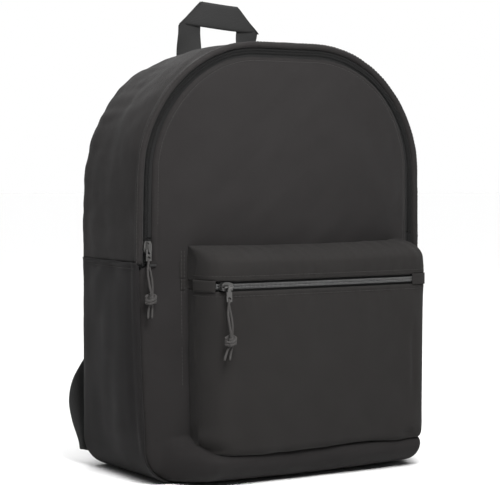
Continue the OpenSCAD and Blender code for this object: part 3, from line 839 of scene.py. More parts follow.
@dataclass
class Rim:
    """The cloth that runs round the bag's edge: over the top, or round the base."""

    bag: Bag
    wardrobe: Wardrobe
    box: SewingBox
    low: bool

    def section(self) -> tuple[Grid, Grid]:
        """Returns the cloth's section as distance out and depth, from the zip or seam to the back."""
        if self.low:
            ahead = [(-4.5, 5), (-2.4, 2), (-1.5, -1.2), (0.3, -2.6), (2.0, -1.2), (2.4, 2.5), (1.6, 6.5)]
        else:
            ahead = [(-13, 2.6), (-7.5, 2.4), (-5, 1), (-4.4, -1.8), (-3, -4), (-1.2, -4.6), (0.6, -3.2),
                     (1.2, -0.2), (0.6, 3.2)]
        ahead += [(1.6, 14), (2.2, 35), (2.4, 62)]
        behind = [(2.0, -34), (1.0, -12), (0.3, -5.5), (-0.9, -1.8), (-3.5, -0.6), (-6.5, -0.6)]
        points = [(out * MM, self.bag.front + y * MM) for out, y in ahead]
        points += [(out * MM, self.bag.back + y * MM) for out, y in behind]
        line = through(points, 1.6 * MM)
        return line[:, 0], line[:, 1]

    def build(self) -> bpy.types.Object:
        """Makes the cloth with its folds, and its stitching."""
        bag = self.bag
        line, normal = bag.outline(self.low)
        if self.low:
            turned = np.array([[-bag.half, bag.seam_z], [bag.half, bag.seam_z]])
        else:
            turned = np.array([[-bag.half, bag.seam_z - 1 * MM], [bag.half, bag.seam_z - 1 * MM]])
        line = np.vstack([turned[:1], line[1:-1], turned[1:]])
        out, depth = self.section()
        run = run_along(line)
        total = run[-1]
        away = np.minimum(run, total - run)
        u, v = np.meshgrid(run, depth, indexing="ij")
        o = np.tile(out, (len(line), 1))
        near = np.minimum(away, 1.0)[:, None]
        back_share = smooth((v - bag.front) / (bag.back - bag.front))
        edge = np.minimum(v - bag.front, bag.back - v)
        calm = smooth(edge / (16 * MM))
        cloth = Folds(11 if self.low else 8)
        if self.low:
            side = smooth((line[:, 1] - 12 * MM) / (40 * MM))[:, None]
            o = np.where(o > 0, o * side, o)
            o += side * 2.2 * MM * calm * np.sin(np.pi * np.clip(near / 0.18, 0, 1)) 
            vertical = cloth.at(v * 1.5, u * 0.6, 80 * MM, 2) * 3.4 * MM
            fan = np.sin((v - bag.front) / (8.5 * MM) - near / (14 * MM) + 3 * cloth.at(v, u, 60 * MM,
                                                                                        2)) * 1.2 * MM
            fan *= np.exp(-near / (17 * MM)) * smooth(near / (5 * MM))
            o += (vertical * calm * smooth(near / (30 * MM)) + fan * (0.4 + 0.6 * calm)) * side
            o += cloth.at(u * 1.2, v * 2.2, 34 * MM, 2) * 0.5 * MM * (1 - calm) * side
            o += 0.7 * MM * smooth(1 - near / (2.2 * MM)) * side
            o -= 0.5 * MM * hill(near, 4.2 * MM, 1.2 * MM) * side
        else:
            arch = smooth((line[:, 1] - 0.23) / 0.12)[:, None]
            o = o - bag.back_drop * back_share * arch
            o += cloth.at(u * 0.9, v * 0.8, 62 * MM, 3) * 3.0 * MM * calm
            o += cloth.at(u * 2.2, v * 0.45, 40 * MM, 2) * 1.5 * MM * smooth((v - bag.front - 0.02) / 0.06)
            lip = smooth(1 - np.abs(v - bag.front) / (9 * MM))
            o += cloth.at(u * 1.6, v * 3, 22 * MM, 2) * 0.55 * MM * lip
        x = line[:, 0][:, None] + normal[:, 0][:, None] * o
        z = line[:, 1][:, None] + normal[:, 1][:, None] * o
        if self.low:
            z = np.maximum(z, 0.0)
        wave = 0.5 * MM * Folds(17).at(u, v, 30 * MM, 2) * (1 - calm)
        points = bag.swell(np.stack([x, v + wave, z], -1))
        worn = np.exp(-np.abs(edge + (1 if self.low else 3) * MM) / (3 * MM)) * 0.8
        name = "lower_strip" if self.low else "top_gusset"
        sheet = make_sheet(name, points, 1.1 * MM, worn)
        self.wardrobe.dress(sheet, Finish.BASE if self.low else Finish.BODY)
        if self.low:
            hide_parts("left_side_panel", "right_side_panel", "base_panel")
        else:
            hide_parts("top_band")
        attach(sheet, "root")
        self.topstitch(points)
        LOG.info("%s: %.3f m round", sheet.name, total)
        return sheet

    def topstitch(self, points: Grid) -> None:
        """Sews a row behind the zip's folded edge, or along the strip's two folded ends."""
        normal = normals_of(points)
        centre = np.array([0.0, 0.0, 0.2])
        flip = np.sign(np.sum((points - centre) * normal, axis=-1, keepdims=True))
        normal = normal * flip
        if not self.low:
            across = run_along(points[0])
            k = int(np.argmin(np.abs(across - 21.5 * MM)))
            self.box.sew("root", points[:, k], normal[:, k])
            return
        for row in (2, len(points) - 3):
            keep = slice(8, -8)
            self.box.sew("root", points[row, keep], normal[row, keep])


# ---- zips and the pocket -----------------------------------------------------------------------


@dataclass
class Zip:
    """A coil zip along a line: the rows of its teeth."""

    wardrobe: Wardrobe
    tooth_pitch: float = 1.35 * MM
    tooth_length: float = 2.5 * MM
    tooth_radius: float = 0.5 * MM
    apart: float = 1.15 * MM

    def teeth(self, name: str, line: Grid, across: Grid, out: Grid, body: str,
              finish: Finish = Finish.COIL) -> bpy.types.Object:
        """Makes one row of teeth.

        Args:
            name: The piece's name.
            line: The line where the two rows meet.
            across: The direction from that line towards this row's tape, at each point.
            out: The direction out of the tape, at each point.
            body: The body that the row rides on.
            finish: The teeth's finish.

        Returns:
            The row of teeth.
        """
        run = run_along(line)
        at = np.arange(self.tooth_pitch / 2, run[-1], self.tooth_pitch)
        pick = lambda v: np.stack([np.interp(at, run, v[:, k]) for k in range(3)], -1)
        side, up = unit(pick(across)), unit(pick(out))
        turns = np.stack([side, np.cross(up, side), up], axis=-1)
        places = pick(line) + side * self.apart
        row = scatter(name, bead(self.tooth_length, self.tooth_radius, 0.45 * MM), places, turns)
        self.wardrobe.dress(row, finish)
        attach(row, body)
        return row


@dataclass
class Pocket:
    """The box pocket on the front, in soft cloth: a zipped top, a face, and pleated sides."""

    bag: Bag
    wardrobe: Wardrobe
    box: SewingBox
    columns: int = 240
    tuck: float = 3 * MM

    def __post_init__(self) -> None:
        """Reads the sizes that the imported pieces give."""
        self.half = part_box("pocket_right_gusset")[1].x
        self.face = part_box("pocket_front")[0].y
        self.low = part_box("pocket_front")[0].z + 17 * MM
        self.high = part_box("pocket_top")[1].z
        self.zip_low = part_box("pocket_front")[1].z
        self.zip_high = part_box("pocket_top")[0].z
        self.zip_z = (self.zip_low + self.zip_high) / 2

    def ring(self, z: float, stands: float, back: float = 0.0) -> Grid:
        """Returns the pocket's section at one height, from its left seam to its right.

        Args:
            z: The height.
            stands: How far it stands out, as a share of its full depth.
            back: How far behind the cloth's outer face the section lies.

        Returns:
            Points (x, y) evenly spaced along the section.
        """
        seam = float(self.bag.front_at(self.half)) + 0.4 * MM
        deep = (seam - self.face) * stands
        puff = math.sin(math.pi * np.clip((z - self.low) / (self.high - self.low), 0, 1))
        soft = 1.0 - 0.55 * math.exp(-(((z - self.zip_z) / (14 * MM)) ** 2))
        h = self.half
        h -= self.tuck
        left = [(-h, seam), (-h + 3.2 * MM, seam - 1.1 * MM), (-h + 6.0 * MM, seam - 0.7 * MM),
                (-h + 7.2 * MM, seam - 0.05 * deep), (-h + (7.2 - 1.2 * puff) * MM, seam - 0.28 * deep),
                (-h + (7.6 - 1.0 * puff) * MM, seam - 0.55 * deep),
                (-h + (8.5 + 3.2 * soft) * MM, seam - 0.80 * deep),
                (-h + (13 + 7 * soft) * MM, seam - 0.945 * deep),
                (-h + (22 + 16 * soft) * MM, seam - 0.99 * deep)]
        h += self.tuck
        right = [(h - (16 + 12 * soft) * MM, seam - 1.0 * deep),
                 (h - (1 + 4 * soft) * MM, seam - 0.985 * deep),
                 (h + (5.5 - 1.5 * soft) * MM, seam - 0.88 * deep),
                 (h + (4.6 + 1.6 * puff) * MM, seam - 0.6 * deep),
                 (h - (1.6 - 2.0 * puff) * MM, seam - 0.3 * deep), (h - 6.2 * MM, seam - 0.06 * deep),
                 (h - 4.8 * MM, seam - 0.5 * MM), (h - 3 * MM, seam - 1.0 * MM), (h, seam)]
        mid = [(x * h, seam - deep - 1.8 * MM * (1 - x * x) * stands * soft) for x in (-0.45, 0.0, 0.45)]
        line = evenly(through(left + mid + right, 1.0 * MM), 1.0 * MM)
        run = np.linspace(0, 1, len(line))
        t = np.linspace(0, 1, self.columns)
        return np.stack([np.interp(t, run, line[:, 0]), np.interp(t, run, line[:, 1]) + back], -1)

    def stands(self, z: float) -> float:
        """Returns the share of its depth at which the pocket stands at a height."""
        foot = np.clip((z - self.low + 3 * MM) / (9 * MM), 0, 1)
        head = np.clip((self.high + 1 * MM - z) / (17 * MM), 0, 1)
        tucked = 0.84 + 0.16 * math.sqrt(1 - (1 - foot) ** 2)
        return float(tucked * math.sqrt(1 - (1 - head) ** 2.2))

    def rows(self, z: Grid, back: float = 0.0) -> Grid:
        """Returns a grid of points of the pocket's surface over a list of heights."""
        grid = []
        for height in z:
            ring = self.ring(float(height), self.stands(float(height)), back)
            grid.append(np.column_stack([ring, np.full(len(ring), height)]))
        return self.bag.swell(np.stack(grid))

    def fold(self, points: Grid, seam_z: float) -> Grid:
        """Returns the points moved by the slack, puckers and creases of the cloth."""
        normal = normals_of(points)
        normal = normal * np.sign(-normal[..., 1:2] + 1e-9)
        x, y, z = points[..., 0], points[..., 1], points[..., 2]
        from_zip = np.abs(z - seam_z)
        cloth = Folds(21)
        calm = smooth(from_zip / 0.02) * smooth((self.half - np.abs(x)) / 0.012)
        wave = cloth.at(x, z * 0.9, 80 * MM, 3) * 3.0 * MM * calm
        pucker = cloth.at(x * 2.6, z * 0.9, 24 * MM,
                          2) * 1.1 * MM * np.exp(-from_zip / 0.018) * smooth(from_zip / 0.004)
        top_seam = np.exp(-(self.high - z) / (9 * MM))
        pucker += cloth.at(x * 2.2 + 3, z * 0.7, 20 * MM, 2) * 1.2 * MM * top_seam
        corner = 0.0
        for cx in (-self.half + 15 * MM, self.half - 14 * MM):
            corner = corner - 3.6 * MM * np.exp(-(((x - cx) / (9 * MM)) ** 2)
                                                 - ((z - self.low - 3 * MM) / (5 * MM)) ** 2)
            corner = corner + 1.6 * MM * np.exp(-(((x - cx) / (12 * MM)) ** 2)
                                                 - ((z - self.low - 13 * MM) / (8 * MM)) ** 2)
        right_fold = -2.2 * MM * hill(x, self.half - 9 * MM,
                                      3.5 * MM) * smooth((z - 0.05) / 0.04) * smooth((0.15 - z) / 0.03)
        lift = wave + pucker + corner + right_fold
        flat = smooth((self.bag.front_at(x) - y - 1 * MM) / (5 * MM))
        return points + normal * (lift * flat)[..., None]

    def build(self) -> None:
        """Makes the pocket's cloth, its zip and its stitching."""
        hem, gap = 1.6 * MM, 0.2 * MM
        lower_z = np.concatenate([self.low - 3 * MM + 9 * MM * (1 - np.cos(np.linspace(0, math.pi / 2, 12))),
                                  np.arange(self.low + 8 * MM, self.zip_low - 4 * MM, 2.4 * MM),
                                  np.linspace(self.zip_low - 3.2 * MM, self.zip_low - gap, 6)])
        upper_z = np.concatenate([np.linspace(self.zip_high + gap, self.zip_high + 3.2 * MM, 6),
                                  np.arange(self.zip_high + 5 * MM, self.high - 16 * MM, 2.2 * MM),
                                  self.high + 1 * MM - 16 * MM * (1 - np.sin(np.linspace(0.06, math.pi / 2,
                                                                                         16)))])
        for name, z, edge, nodes in (
            ("pocket_face", lower_z, self.zip_low,
             ("pocket_front", "pocket_left_gusset", "pocket_right_gusset")),
            ("pocket_top_band", upper_z, self.zip_high, ("pocket_top",)),
        ):
            points = self.fold(self.rows(z), edge)
            curl = np.exp(-np.abs(points[..., 2] - edge) / (0.9 * MM)) * hem
            stitch = hill(np.abs(points[..., 2] - edge), 4.6 * MM, 1.0 * MM) * 0.45 * MM
            points[..., 1] += curl + stitch
            worn = np.exp(-np.abs(points[..., 2] - edge) / (1.2 * MM)) * 0.8
            sheet = make_sheet(name, points, 1.0 * MM, worn)
            self.wardrobe.dress(sheet, Finish.POCKET)
            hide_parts(*nodes)
            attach(sheet, "root")
            LOG.info("%s made", name)
        self.zip()
        self.topstitch()

    def zip(self) -> None:
        """Makes the zip in the pocket's face, following the face round at its ends."""
        ring = self.ring(self.zip_z, 1.0)[1:-1]
        line = self.bag.swell(np.column_stack([ring[:, 0], ring[:, 1] + 0.9 * MM,
                                               np.full(len(ring), self.zip_z)]))
        forward = unit(np.gradient(line, axis=0))
        up = np.tile([0.0, 0.0, 1.0], (len(line), 1))
        out = unit(np.cross(forward, up))
        out *= np.sign(-out[:, 1:2] + 1e-9)
        maker = Zip(self.wardrobe)
        face = (line[:, 0] > -107 * MM) & (line[:, 0] < 110 * MM)
        sewn, along, away = line[face], up[face], out[face]
        for side, sign in (("upper", 1.0), ("lower", -1.0)):
            inner, outer = 0.5 * MM, 11.5 * MM
            strip = np.stack([sewn + along * sign * w - away * (1.6 + 0.9 * (w > 2 * MM)) * MM
                              for w in np.linspace(inner, outer, 8)])
            tape = make_sheet(f"pocket_tape_{side}_cloth", strip, 0.6 * MM)
            self.wardrobe.dress(tape, Finish.TAPE)
            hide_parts(f"pocket_tape_{side}")
            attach(tape, "root")
            row = maker.teeth(f"pocket_teeth_{side}", sewn - away * 0.4 * MM, along * sign, away, "root")
            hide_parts(f"pocket_coil_{side}")
        self.tabs(line, out)

    def tabs(self, line: Grid, out: Grid) -> None:
        """Makes the folded cloth tab over each end of the zip."""
        x = line[:, 0]
        for name, part in (("left", x < -104 * MM), ("right", x > 107 * MM)):
            strip = np.stack([line[part] + out[part] * 1.5 * MM + [0, 0, w] for w in np.linspace(-5.2 * MM,
                                                                                                 5.2 * MM,
                                                                                                 7)])
            tab = make_sheet(f"pocket_zip_tab_{name}", strip, 1.0 * MM)
            self.wardrobe.dress(tab, Finish.POCKET)
            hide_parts("pocket_zip_ends")
            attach(tab, "root")

    def topstitch(self) -> None:
        """Sews along both sides of the zip and down the two side seams."""
        for z in (self.zip_low - 4.6 * MM, self.zip_high + 4.6 * MM):
            ring = self.ring(z, 1.0)[14:-14]
            line = self.bag.swell(np.column_stack([ring[:, 0], ring[:, 1] + 0.1 * MM, np.full(len(ring), z)]))
            self.box.sew("root", line, np.tile([0.0, -1.0, 0.0], (len(line), 1)))
        for inset in (1.6 * MM, 4.4 * MM):
            for side in (-1, 1):
                z = np.linspace(self.low, self.high - 2 * MM, 60)
                x = np.full(60, side * (self.half - inset) + (self.tuck if side < 0 else 0.0))
                y = np.full(60, float(self.bag.front_at(self.half)) + 0.4 * MM - 1.15 * MM)
                row = self.bag.swell(np.stack([x, y, z], -1))
                self.box.sew("root", row, np.tile([0.0, -1.0, 0.0], (60, 1)))


# ---- pull cords --------------------------------------------------------------------------------


@dataclass
class PullCord:
    """The doubled cord through a pull tab, its overhand knot and its two frayed tails."""

    wardrobe: Wardrobe
    which: str
    hole: Vector
    out: float
    tail_out: float
    tail_ends: tuple[float, float]
    diameter: float = 2 * MM
    drop: float = 33 * MM
    wraps: float = 1.5

    ROUTE = [(0, 0.1, -0.2), (0, 1.0, -0.9), (0.3, 1.6, -2.4), (0.9, 1.4, -5.5), (1.5, 0.5, -10),
             (1.9, -1.0, -15),
             (2.0, -2.4, -19), (1.8, -3.8, -25), (1.2, -4.8, -31)]

    def strand(self, side: int) -> list[tuple[float, float, float]]:
        """Returns the route of one strand, from the tab's hole through the knot to its tail."""
        points = []
        for x, y, z in self.ROUTE:
            ahead = y if side > 0 else min(y, 0.0) - abs(z) * MM / self.drop - (0.8 if z < -1 else 0.0)
            points.append((side * x, ahead + (self.out - 5 * MM) * z / self.drop, z))
        aside = self.tail_ends[0 if side < 0 else 1]
        knot = [(side * 1.0, -self.out / MM - 0.3, -35), (side * 1.2, -self.out / MM, -41),
                (side * 1.2 + 0.3 * aside, -self.out / MM + 0.2, -45),
                (aside, -self.out / MM + self.tail_out, -53)]
        return [tuple(self.hole[k] + p[k] * MM for k in range(3)) for p in points + knot]

    def build(self) -> None:
        """Makes both strands and the knot."""
        body = f"{self.which}_cord"
        knot = self.knot()
        for name, side in (("front", -1), ("back", 1)):
            line = through(self.strand(side), 0.9 * MM)
            braid = 1 + 0.05 * np.sin(np.arange(len(line)) * 2.4)
            strand = make_tube(f"{self.which}_cord_{name}", line, self.diameter / 2 * braid, 10)
            self.wardrobe.dress(strand, Finish.CORD)
            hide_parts(f"{self.which}_pull_cord")
            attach(strand, body)

    def knot(self) -> bpy.types.Object:
        """Makes the overhand knot: the two strands wound round themselves."""
        centre = np.array(self.hole) + np.array([0, -self.out, -self.drop - 4 * MM])
        t = np.linspace(0, 1, 60)
        turn = 2 * math.pi * self.wraps * t
        big = 3.4 * MM
        loops = []
        for shift in (0.0, 2.2 * MM):
            x = (big + 0.5 * MM * np.sin(3 * turn)) * np.cos(turn) * 1.25
            y = (big - 0.2 * MM) * np.sin(turn)
            z = (t - 0.5) * 4.6 * MM + 1.6 * MM * np.sin(turn + 0.6) - shift + 1.1 * MM
            loops.append(make_tube("wrap", centre + np.stack([x, y, z], -1), 1.35 * MM, 10))
        core = make_tube("core",
                         centre + np.array([[0, 0, 4.6], [0.2, -0.2, 1.5], [-0.2, 0.1, -1.5],
                                            [0, 0, -4.6]]) * MM,
                         np.array([1.4, 2.9, 2.9, 1.4]) * MM, 10)
        bpy.ops.object.select_all(action="DESELECT")
        for part in (*loops, core):
            part.select_set(True)
        bpy.context.view_layer.objects.active = loops[0]
        bpy.ops.object.join()
        knot = loops[0]
        knot.name = f"{self.which}_knot"
        self.wardrobe.dress(knot, Finish.CORD)
        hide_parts(f"{self.which}_cord_knot")
        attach(knot, f"{self.which}_cord")
        return knot


# ---- the main zip ------------------------------------------------------------------------------


@dataclass
class MainZip:
    """The zip round the arch: its tapes and teeth, in the channel between the band and the flap."""

    bag: Bag
    wardrobe: Wardrobe
    low: float = 197 * MM

    def strip(self, name: str, insets: tuple[float, float], span: tuple[float, float], body: str,
              nodes: Sequence[str]) -> None:
        """Makes one tape, or one stretch of it.

        Args:
            name: The piece's name.
            insets: How far inside the outline its two edges lie.
            span: The heights between which it runs.
            body: The body it rides on.
            nodes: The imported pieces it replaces.
        """
        for side in self.stretches(span):
            line, normal = side
            across = np.linspace(insets[0], insets[1], 6)
            points = np.stack([np.column_stack([line[:, 0] - normal[:, 0] * w,
                                                np.full(len(line), self.bag.front - 0.3 * MM),
                                                line[:, 1] - normal[:, 1] * w]) for w in across])
            tape = make_sheet(name, self.bag.swell(points), 0.7 * MM)
            self.wardrobe.dress(tape, Finish.TAPE)
            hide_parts(*nodes)
            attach(tape, body)

    def stretches(self, span: tuple[float, float]) -> list[tuple[Grid, Grid]]:
        """Returns the parts of the arch between two heights."""
        line, normal = self.bag.outline(False, start=self.low, step=0.5 * MM)
        keep = (line[:, 1] >= span[0] - 1e-6) & (line[:, 1] <= span[1] + 1e-6)
        if keep.all() or span[1] > self.bag.tall - 1 * MM:
            return [(line[keep], normal[keep])]
        left = keep & (line[:, 0] < 0)
        right = keep & (line[:, 0] > 0)
        return [(line[left], normal[left]), (line[right], normal[right])]

    def build(self) -> None:
        """Makes the tapes and the two rows of teeth."""
        bag, top = self.bag, self.bag.tall
        gap = 0.05 * MM
        self.strip("arch_tape_outer", (1.5 * MM, 7.0 * MM), (self.low, top), "root", ("band_zip_tape",))
        self.strip("arch_tape_flap", (8.2 * MM, 21 * MM), (bag.fold_z + gap, top), "front_flap",
                   ("flap_zip_tape",))
        self.strip("arch_tape_panel", (8.2 * MM, 21 * MM), (self.low, bag.fold_z - gap), "root",
                   ("panel_zip_tape",))
        maker = Zip(self.wardrobe)
        rows = (("band_teeth", 1.0, (self.low + 2 * MM, top), "root", "band_zip_coil"),
                ("flap_teeth", -1.0, (bag.fold_z + gap, top), "front_flap", "flap_zip_coil"),
                ("panel_teeth", -1.0, (self.low + 2 * MM, bag.fold_z - gap), "root", "panel_zip_coil"))
        for name, sign, span, body, node in rows:
            for line, normal in self.stretches(span):
                way = np.column_stack([normal[:, 0], np.zeros(len(line)), normal[:, 1]])
                points = np.column_stack([line[:, 0], np.full(len(line), bag.front - 1.5 * MM), line[:, 1]])
                middle = bag.swell(points - way * bag.zip_inset)
                out = np.tile([0.0, -1.0, 0.0], (len(line), 1))
                row = maker.teeth(name, middle, way * sign, out, body, Finish.TAPE)
                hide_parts(node)
        LOG.info("main zip made")


# ---- straps, handle and back -------------------------------------------------------------------


def sweep(name: str, line: Grid, across: Grid, out: Grid, section: Grid, widths: Grid, finish: Finish,
          wardrobe: Wardrobe) -> bpy.types.Object:
    """Makes a closed piece by carrying a flat section along a line.

    Args:
        name: The piece's name.
        line: The line, through the middle of the piece.
        across: The direction of the piece's width at each point.
        out: The direction of its thickness at each point.
        section: Its section: share of the half width, and distance through the thickness.
        widths: Its width at each point.
        finish: Its finish.
        wardrobe: The finishes.

    Returns:
        The piece.
    """
    half = (widths / 2)[:, None, None]
    rings = (line[:, None] + across[:, None] * section[None, :, :1] * half
             + out[:, None] * section[None, :, 1:])
    run = run_along(line)
    girth = np.concatenate([[0], np.cumsum(np.abs(np.diff(section[:, 0])) * float(widths.max()) / 2
                                           + np.abs(np.diff(section[:, 1])))])
    uv = np.stack(np.meshgrid(run, girth, indexing="ij"), -1)
    count = len(section)
    faces = [list(f) for f in grid_faces(len(line), count, True)]
    last = (len(line) - 1) * count
    middle = [rings[0].mean(axis=0), rings[-1].mean(axis=0)]
    verts = np.vstack([rings.reshape(-1, 3), middle])
    top = len(verts) - 2
    for j in range(count):
        faces.append([top, (j + 1) % count, j])
        faces.append([top + 1, last + j, last + (j + 1) % count])
    uvs = np.vstack([uv.reshape(-1, 2), uv[0, :1], uv[-1, :1]])
    piece = put_in_scene(name, verts, faces, uvs)
    bpy.context.view_layer.objects.active = piece
    bpy.ops.object.select_all(action="DESELECT")
    piece.select_set(True)
    bpy.ops.object.mode_set(mode="EDIT")
    bpy.ops.mesh.select_all(action="SELECT")
    bpy.ops.mesh.normals_make_consistent(inside=False)
    bpy.ops.object.mode_set(mode="OBJECT")
    piece.select_set(False)
    wardrobe.dress(piece, finish)
    return piece


def flat_section(thick: float, steps: int = 12) -> Grid:
    """Returns the section of webbing: flat faces with rounded edges."""
    s = np.linspace(-1, 1, steps)
    lens = np.sqrt(np.clip(1 - np.abs(s) ** 14, 0, 1)) * 0.94 + 0.06
    ribs = 1 - 0.16 * hill(np.abs(s), 0.78, 0.06)
    up = np.stack([s, thick / 2 * lens * ribs], -1)
    return np.vstack([up, up[::-1] * [1, -1]])


def pad_section(thick: float, steps: int = 22) -> Grid:
    """Returns the section of a padded strap: a soft middle and thin stitched edges."""
    s = np.linspace(-1, 1, steps)
    puffed = np.clip((0.9 - np.abs(s)) / 0.34, 0, 1)
    lens = 0.26 + 0.74 * np.sqrt(1 - (1 - puffed) ** 2)
    lens = np.where(np.abs(s) > 0.97, 0.16, lens)
    up = np.stack([s, thick / 2 * lens], -1)
    return np.vstack([up, up[::-1] * [1, -0.9]])


def moved_copy(wardrobe: Wardrobe, node: str, body: str, finish: Finish,
               move: Callable[[Grid], Grid]) -> bpy.types.Object:
    """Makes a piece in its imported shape, moved as the cloth round it lies.

    Args:
        wardrobe: The finishes.
        node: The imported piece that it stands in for.
        body: The body it rides on.
        finish: Its finish.
        move: What moves its points.

    Returns:
        The new piece.
    """
    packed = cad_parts[node]
    matrix = np.array(packed.matrix_world)
    co = np.array([v.co for v in packed.data.vertices]) @ matrix[:3, :3].T + matrix[:3, 3]
    piece = put_in_scene(f"{node}_piece", move(co), [tuple(p.vertices) for p in packed.data.polygons])
    piece.data.polygons.foreach_set("use_smooth", [False] * len(piece.data.polygons))
    wardrobe.dress(piece, finish)
    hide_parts(node)
    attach(piece, body)
    return piece


@dataclass
class Strap:
    """One shoulder strap: its pad, its webbing, its ladder lock and its anchor."""

    bag: Bag
    wardrobe: Wardrobe
    box: SewingBox
    side: int
    pad_w: float = 62 * MM
    pad_t: float = 9 * MM
    webbing_w: float = 32 * MM
    webbing_t: float = 1.6 * MM
    lock: tuple[float, float, float] = (-98, 33, 142)
    lean: float = 14.0
    tail: float = 104 * MM

    BASE = [(-49, 3, 372), (-50.5, 9, 363), (-52, 18, 352), (-56, 29, 332)]
    PAD = [(-56, 29, 332), (-63, 39, 298), (-71, 42.6, 262), (-79, 42, 228), (-86, 38.5, 196), (-92, 34, 165)]
    WEBBING = [(-101.6, 31.4, 127.4), (-104, 30.5, 118), (-111, 29, 105), (-122, 28, 91), (-133, 25, 75),
               (-139, 20, 57), (-140, 12, 40)]
    ANCHOR = [(-140, 12, 40), (-139, 6, 29), (-137, 3.4, 20), (-136, 2.8, 12)]

    def __post_init__(self) -> None:
        """Names the side and finds the line that the strap swings about."""
        self.name = "left" if self.side < 0 else "right"
        ends = self.place([(-136, 2.6, 16), (-50, 6, 372)])
        self.axis = unit(ends[1] - ends[0])
        self.across = unit(np.cross(self.axis, [0.0, 1.0, 0.0]))
        self.out = np.cross(self.across, self.axis)

    def place(self, route: Sequence[Point]) -> Grid:
        """Returns the points of a route in the frame, in metres."""
        p = np.asarray(route, float) * MM
        return np.stack([-p[:, 0] * self.side, self.bag.back + p[:, 1], p[:, 2]], -1)

    def directions(self, line: Grid) -> tuple[Grid, Grid]:
        """Returns the strap's width and thickness directions along a line."""
        across = np.tile(self.across, (len(line), 1))
        out = unit(np.cross(across, unit(np.gradient(line, axis=0))))
        return across, out * np.sign(out[:, 1:2] + 1e-9)

    def build(self) -> None:
        """Makes every piece of the strap."""
        self.pad()
        self.webbing()
        self.hardware()

    def pad(self) -> None:
        """Makes the padded stretch, bending at its sewn top."""
        line = through(np.vstack([self.place(self.BASE)[:-1], self.place(self.PAD)]), 2.5 * MM)
        across, out = self.directions(line)
        run = run_along(line)
        t = run / run[-1]
        widths = self.pad_w - 10 * MM * smooth((t - 0.25) / 0.75) - 16 * MM * smooth((t - 0.93) / 0.07)
        pad = sweep(f"{self.name}_pad", line, across, out, pad_section(self.pad_t), widths, Finish.STRAP,
                    self.wardrobe)
        self.dent(pad)
        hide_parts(*(f"{self.name}_{part}" for part in ("strap_base", "strap_cover", "strap_foam",
                                                         "strap_lining")))
        Vector(self.place([(-50, 9, 372)])[0])
        Vector(self.place([(-57, 31, 326)])[0])
        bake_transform(pad)
        for edge in (-0.9, 0.9):
            seam = line + across * (widths / 2 * edge)[:, None] + out * self.pad_t * 0.14
            self.box.sew(f"{self.name}_strap", seam[t > 0.2], out[t > 0.2])
        LOG.info("%s: %.3f m long", pad.name, run[-1])

    def dent(self, pad: bpy.types.Object) -> None:
        """Gives the pad the slight lumps of soft foam."""
        lumps = Folds(31 + self.side)
        for v in pad.data.vertices:
            v.co.y += float(lumps.at(v.co.x, v.co.z, 38 * MM, 2)) * 1.0 * MM

    def webbing(self) -> None:
        """Makes the lower webbing and its anchor patch."""
        line = through(np.vstack([self.place(self.WEBBING)[:-1], self.place(self.ANCHOR)]), 2.0 * MM)
        across, out = self.directions(line)
        ribbon = sweep(f"{self.name}_webbing", line, across, out, flat_section(self.webbing_t),
                       np.full(len(line), self.webbing_w), Finish.WEBBING, self.wardrobe)
        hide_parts(f"{self.name}_lower_webbing")
        Vector(self.place([(-140, 14, 44)])[0])
        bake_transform(ribbon)
        x, z = (np.array([[147, 30], [147, 74], [112, 26], [124, 6], [133, 8]]) * MM).T
        corners = np.column_stack([self.side * x, np.full(5, self.bag.back + 0.8 * MM), z])
        steps = 14
        rows = []
        for t in np.linspace(0, 1, steps):
            a = corners[1] * (1 - t) + corners[2] * t
            b = (corners[0] * (1 - t) + corners[4] * t) if t < 1 else corners[3]
            rows.append(np.linspace(a, b, 12))
        patch = make_sheet(f"{self.name}_anchor_patch", np.stack(rows), 1.4 * MM)
        self.wardrobe.dress(patch, Finish.STRAP)
        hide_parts(f"{self.name}_anchor_tab")
        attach(patch, "root")

    def at_lock(self, points: Grid) -> Grid:
        """Returns points drawn round the ladder lock's middle in their place on the strap."""
        a, b = math.radians(-self.side * self.lean), math.radians(-6)
        about_y = np.array([[math.cos(a), 0, math.sin(a)], [0, 1, 0], [-math.sin(a), 0, math.cos(a)]])
        about_x = np.array([[1, 0, 0], [0, math.cos(b), -math.sin(b)], [0, math.sin(b), math.cos(b)]])
        return points @ (about_x @ about_y).T + self.place([self.lock])[0]

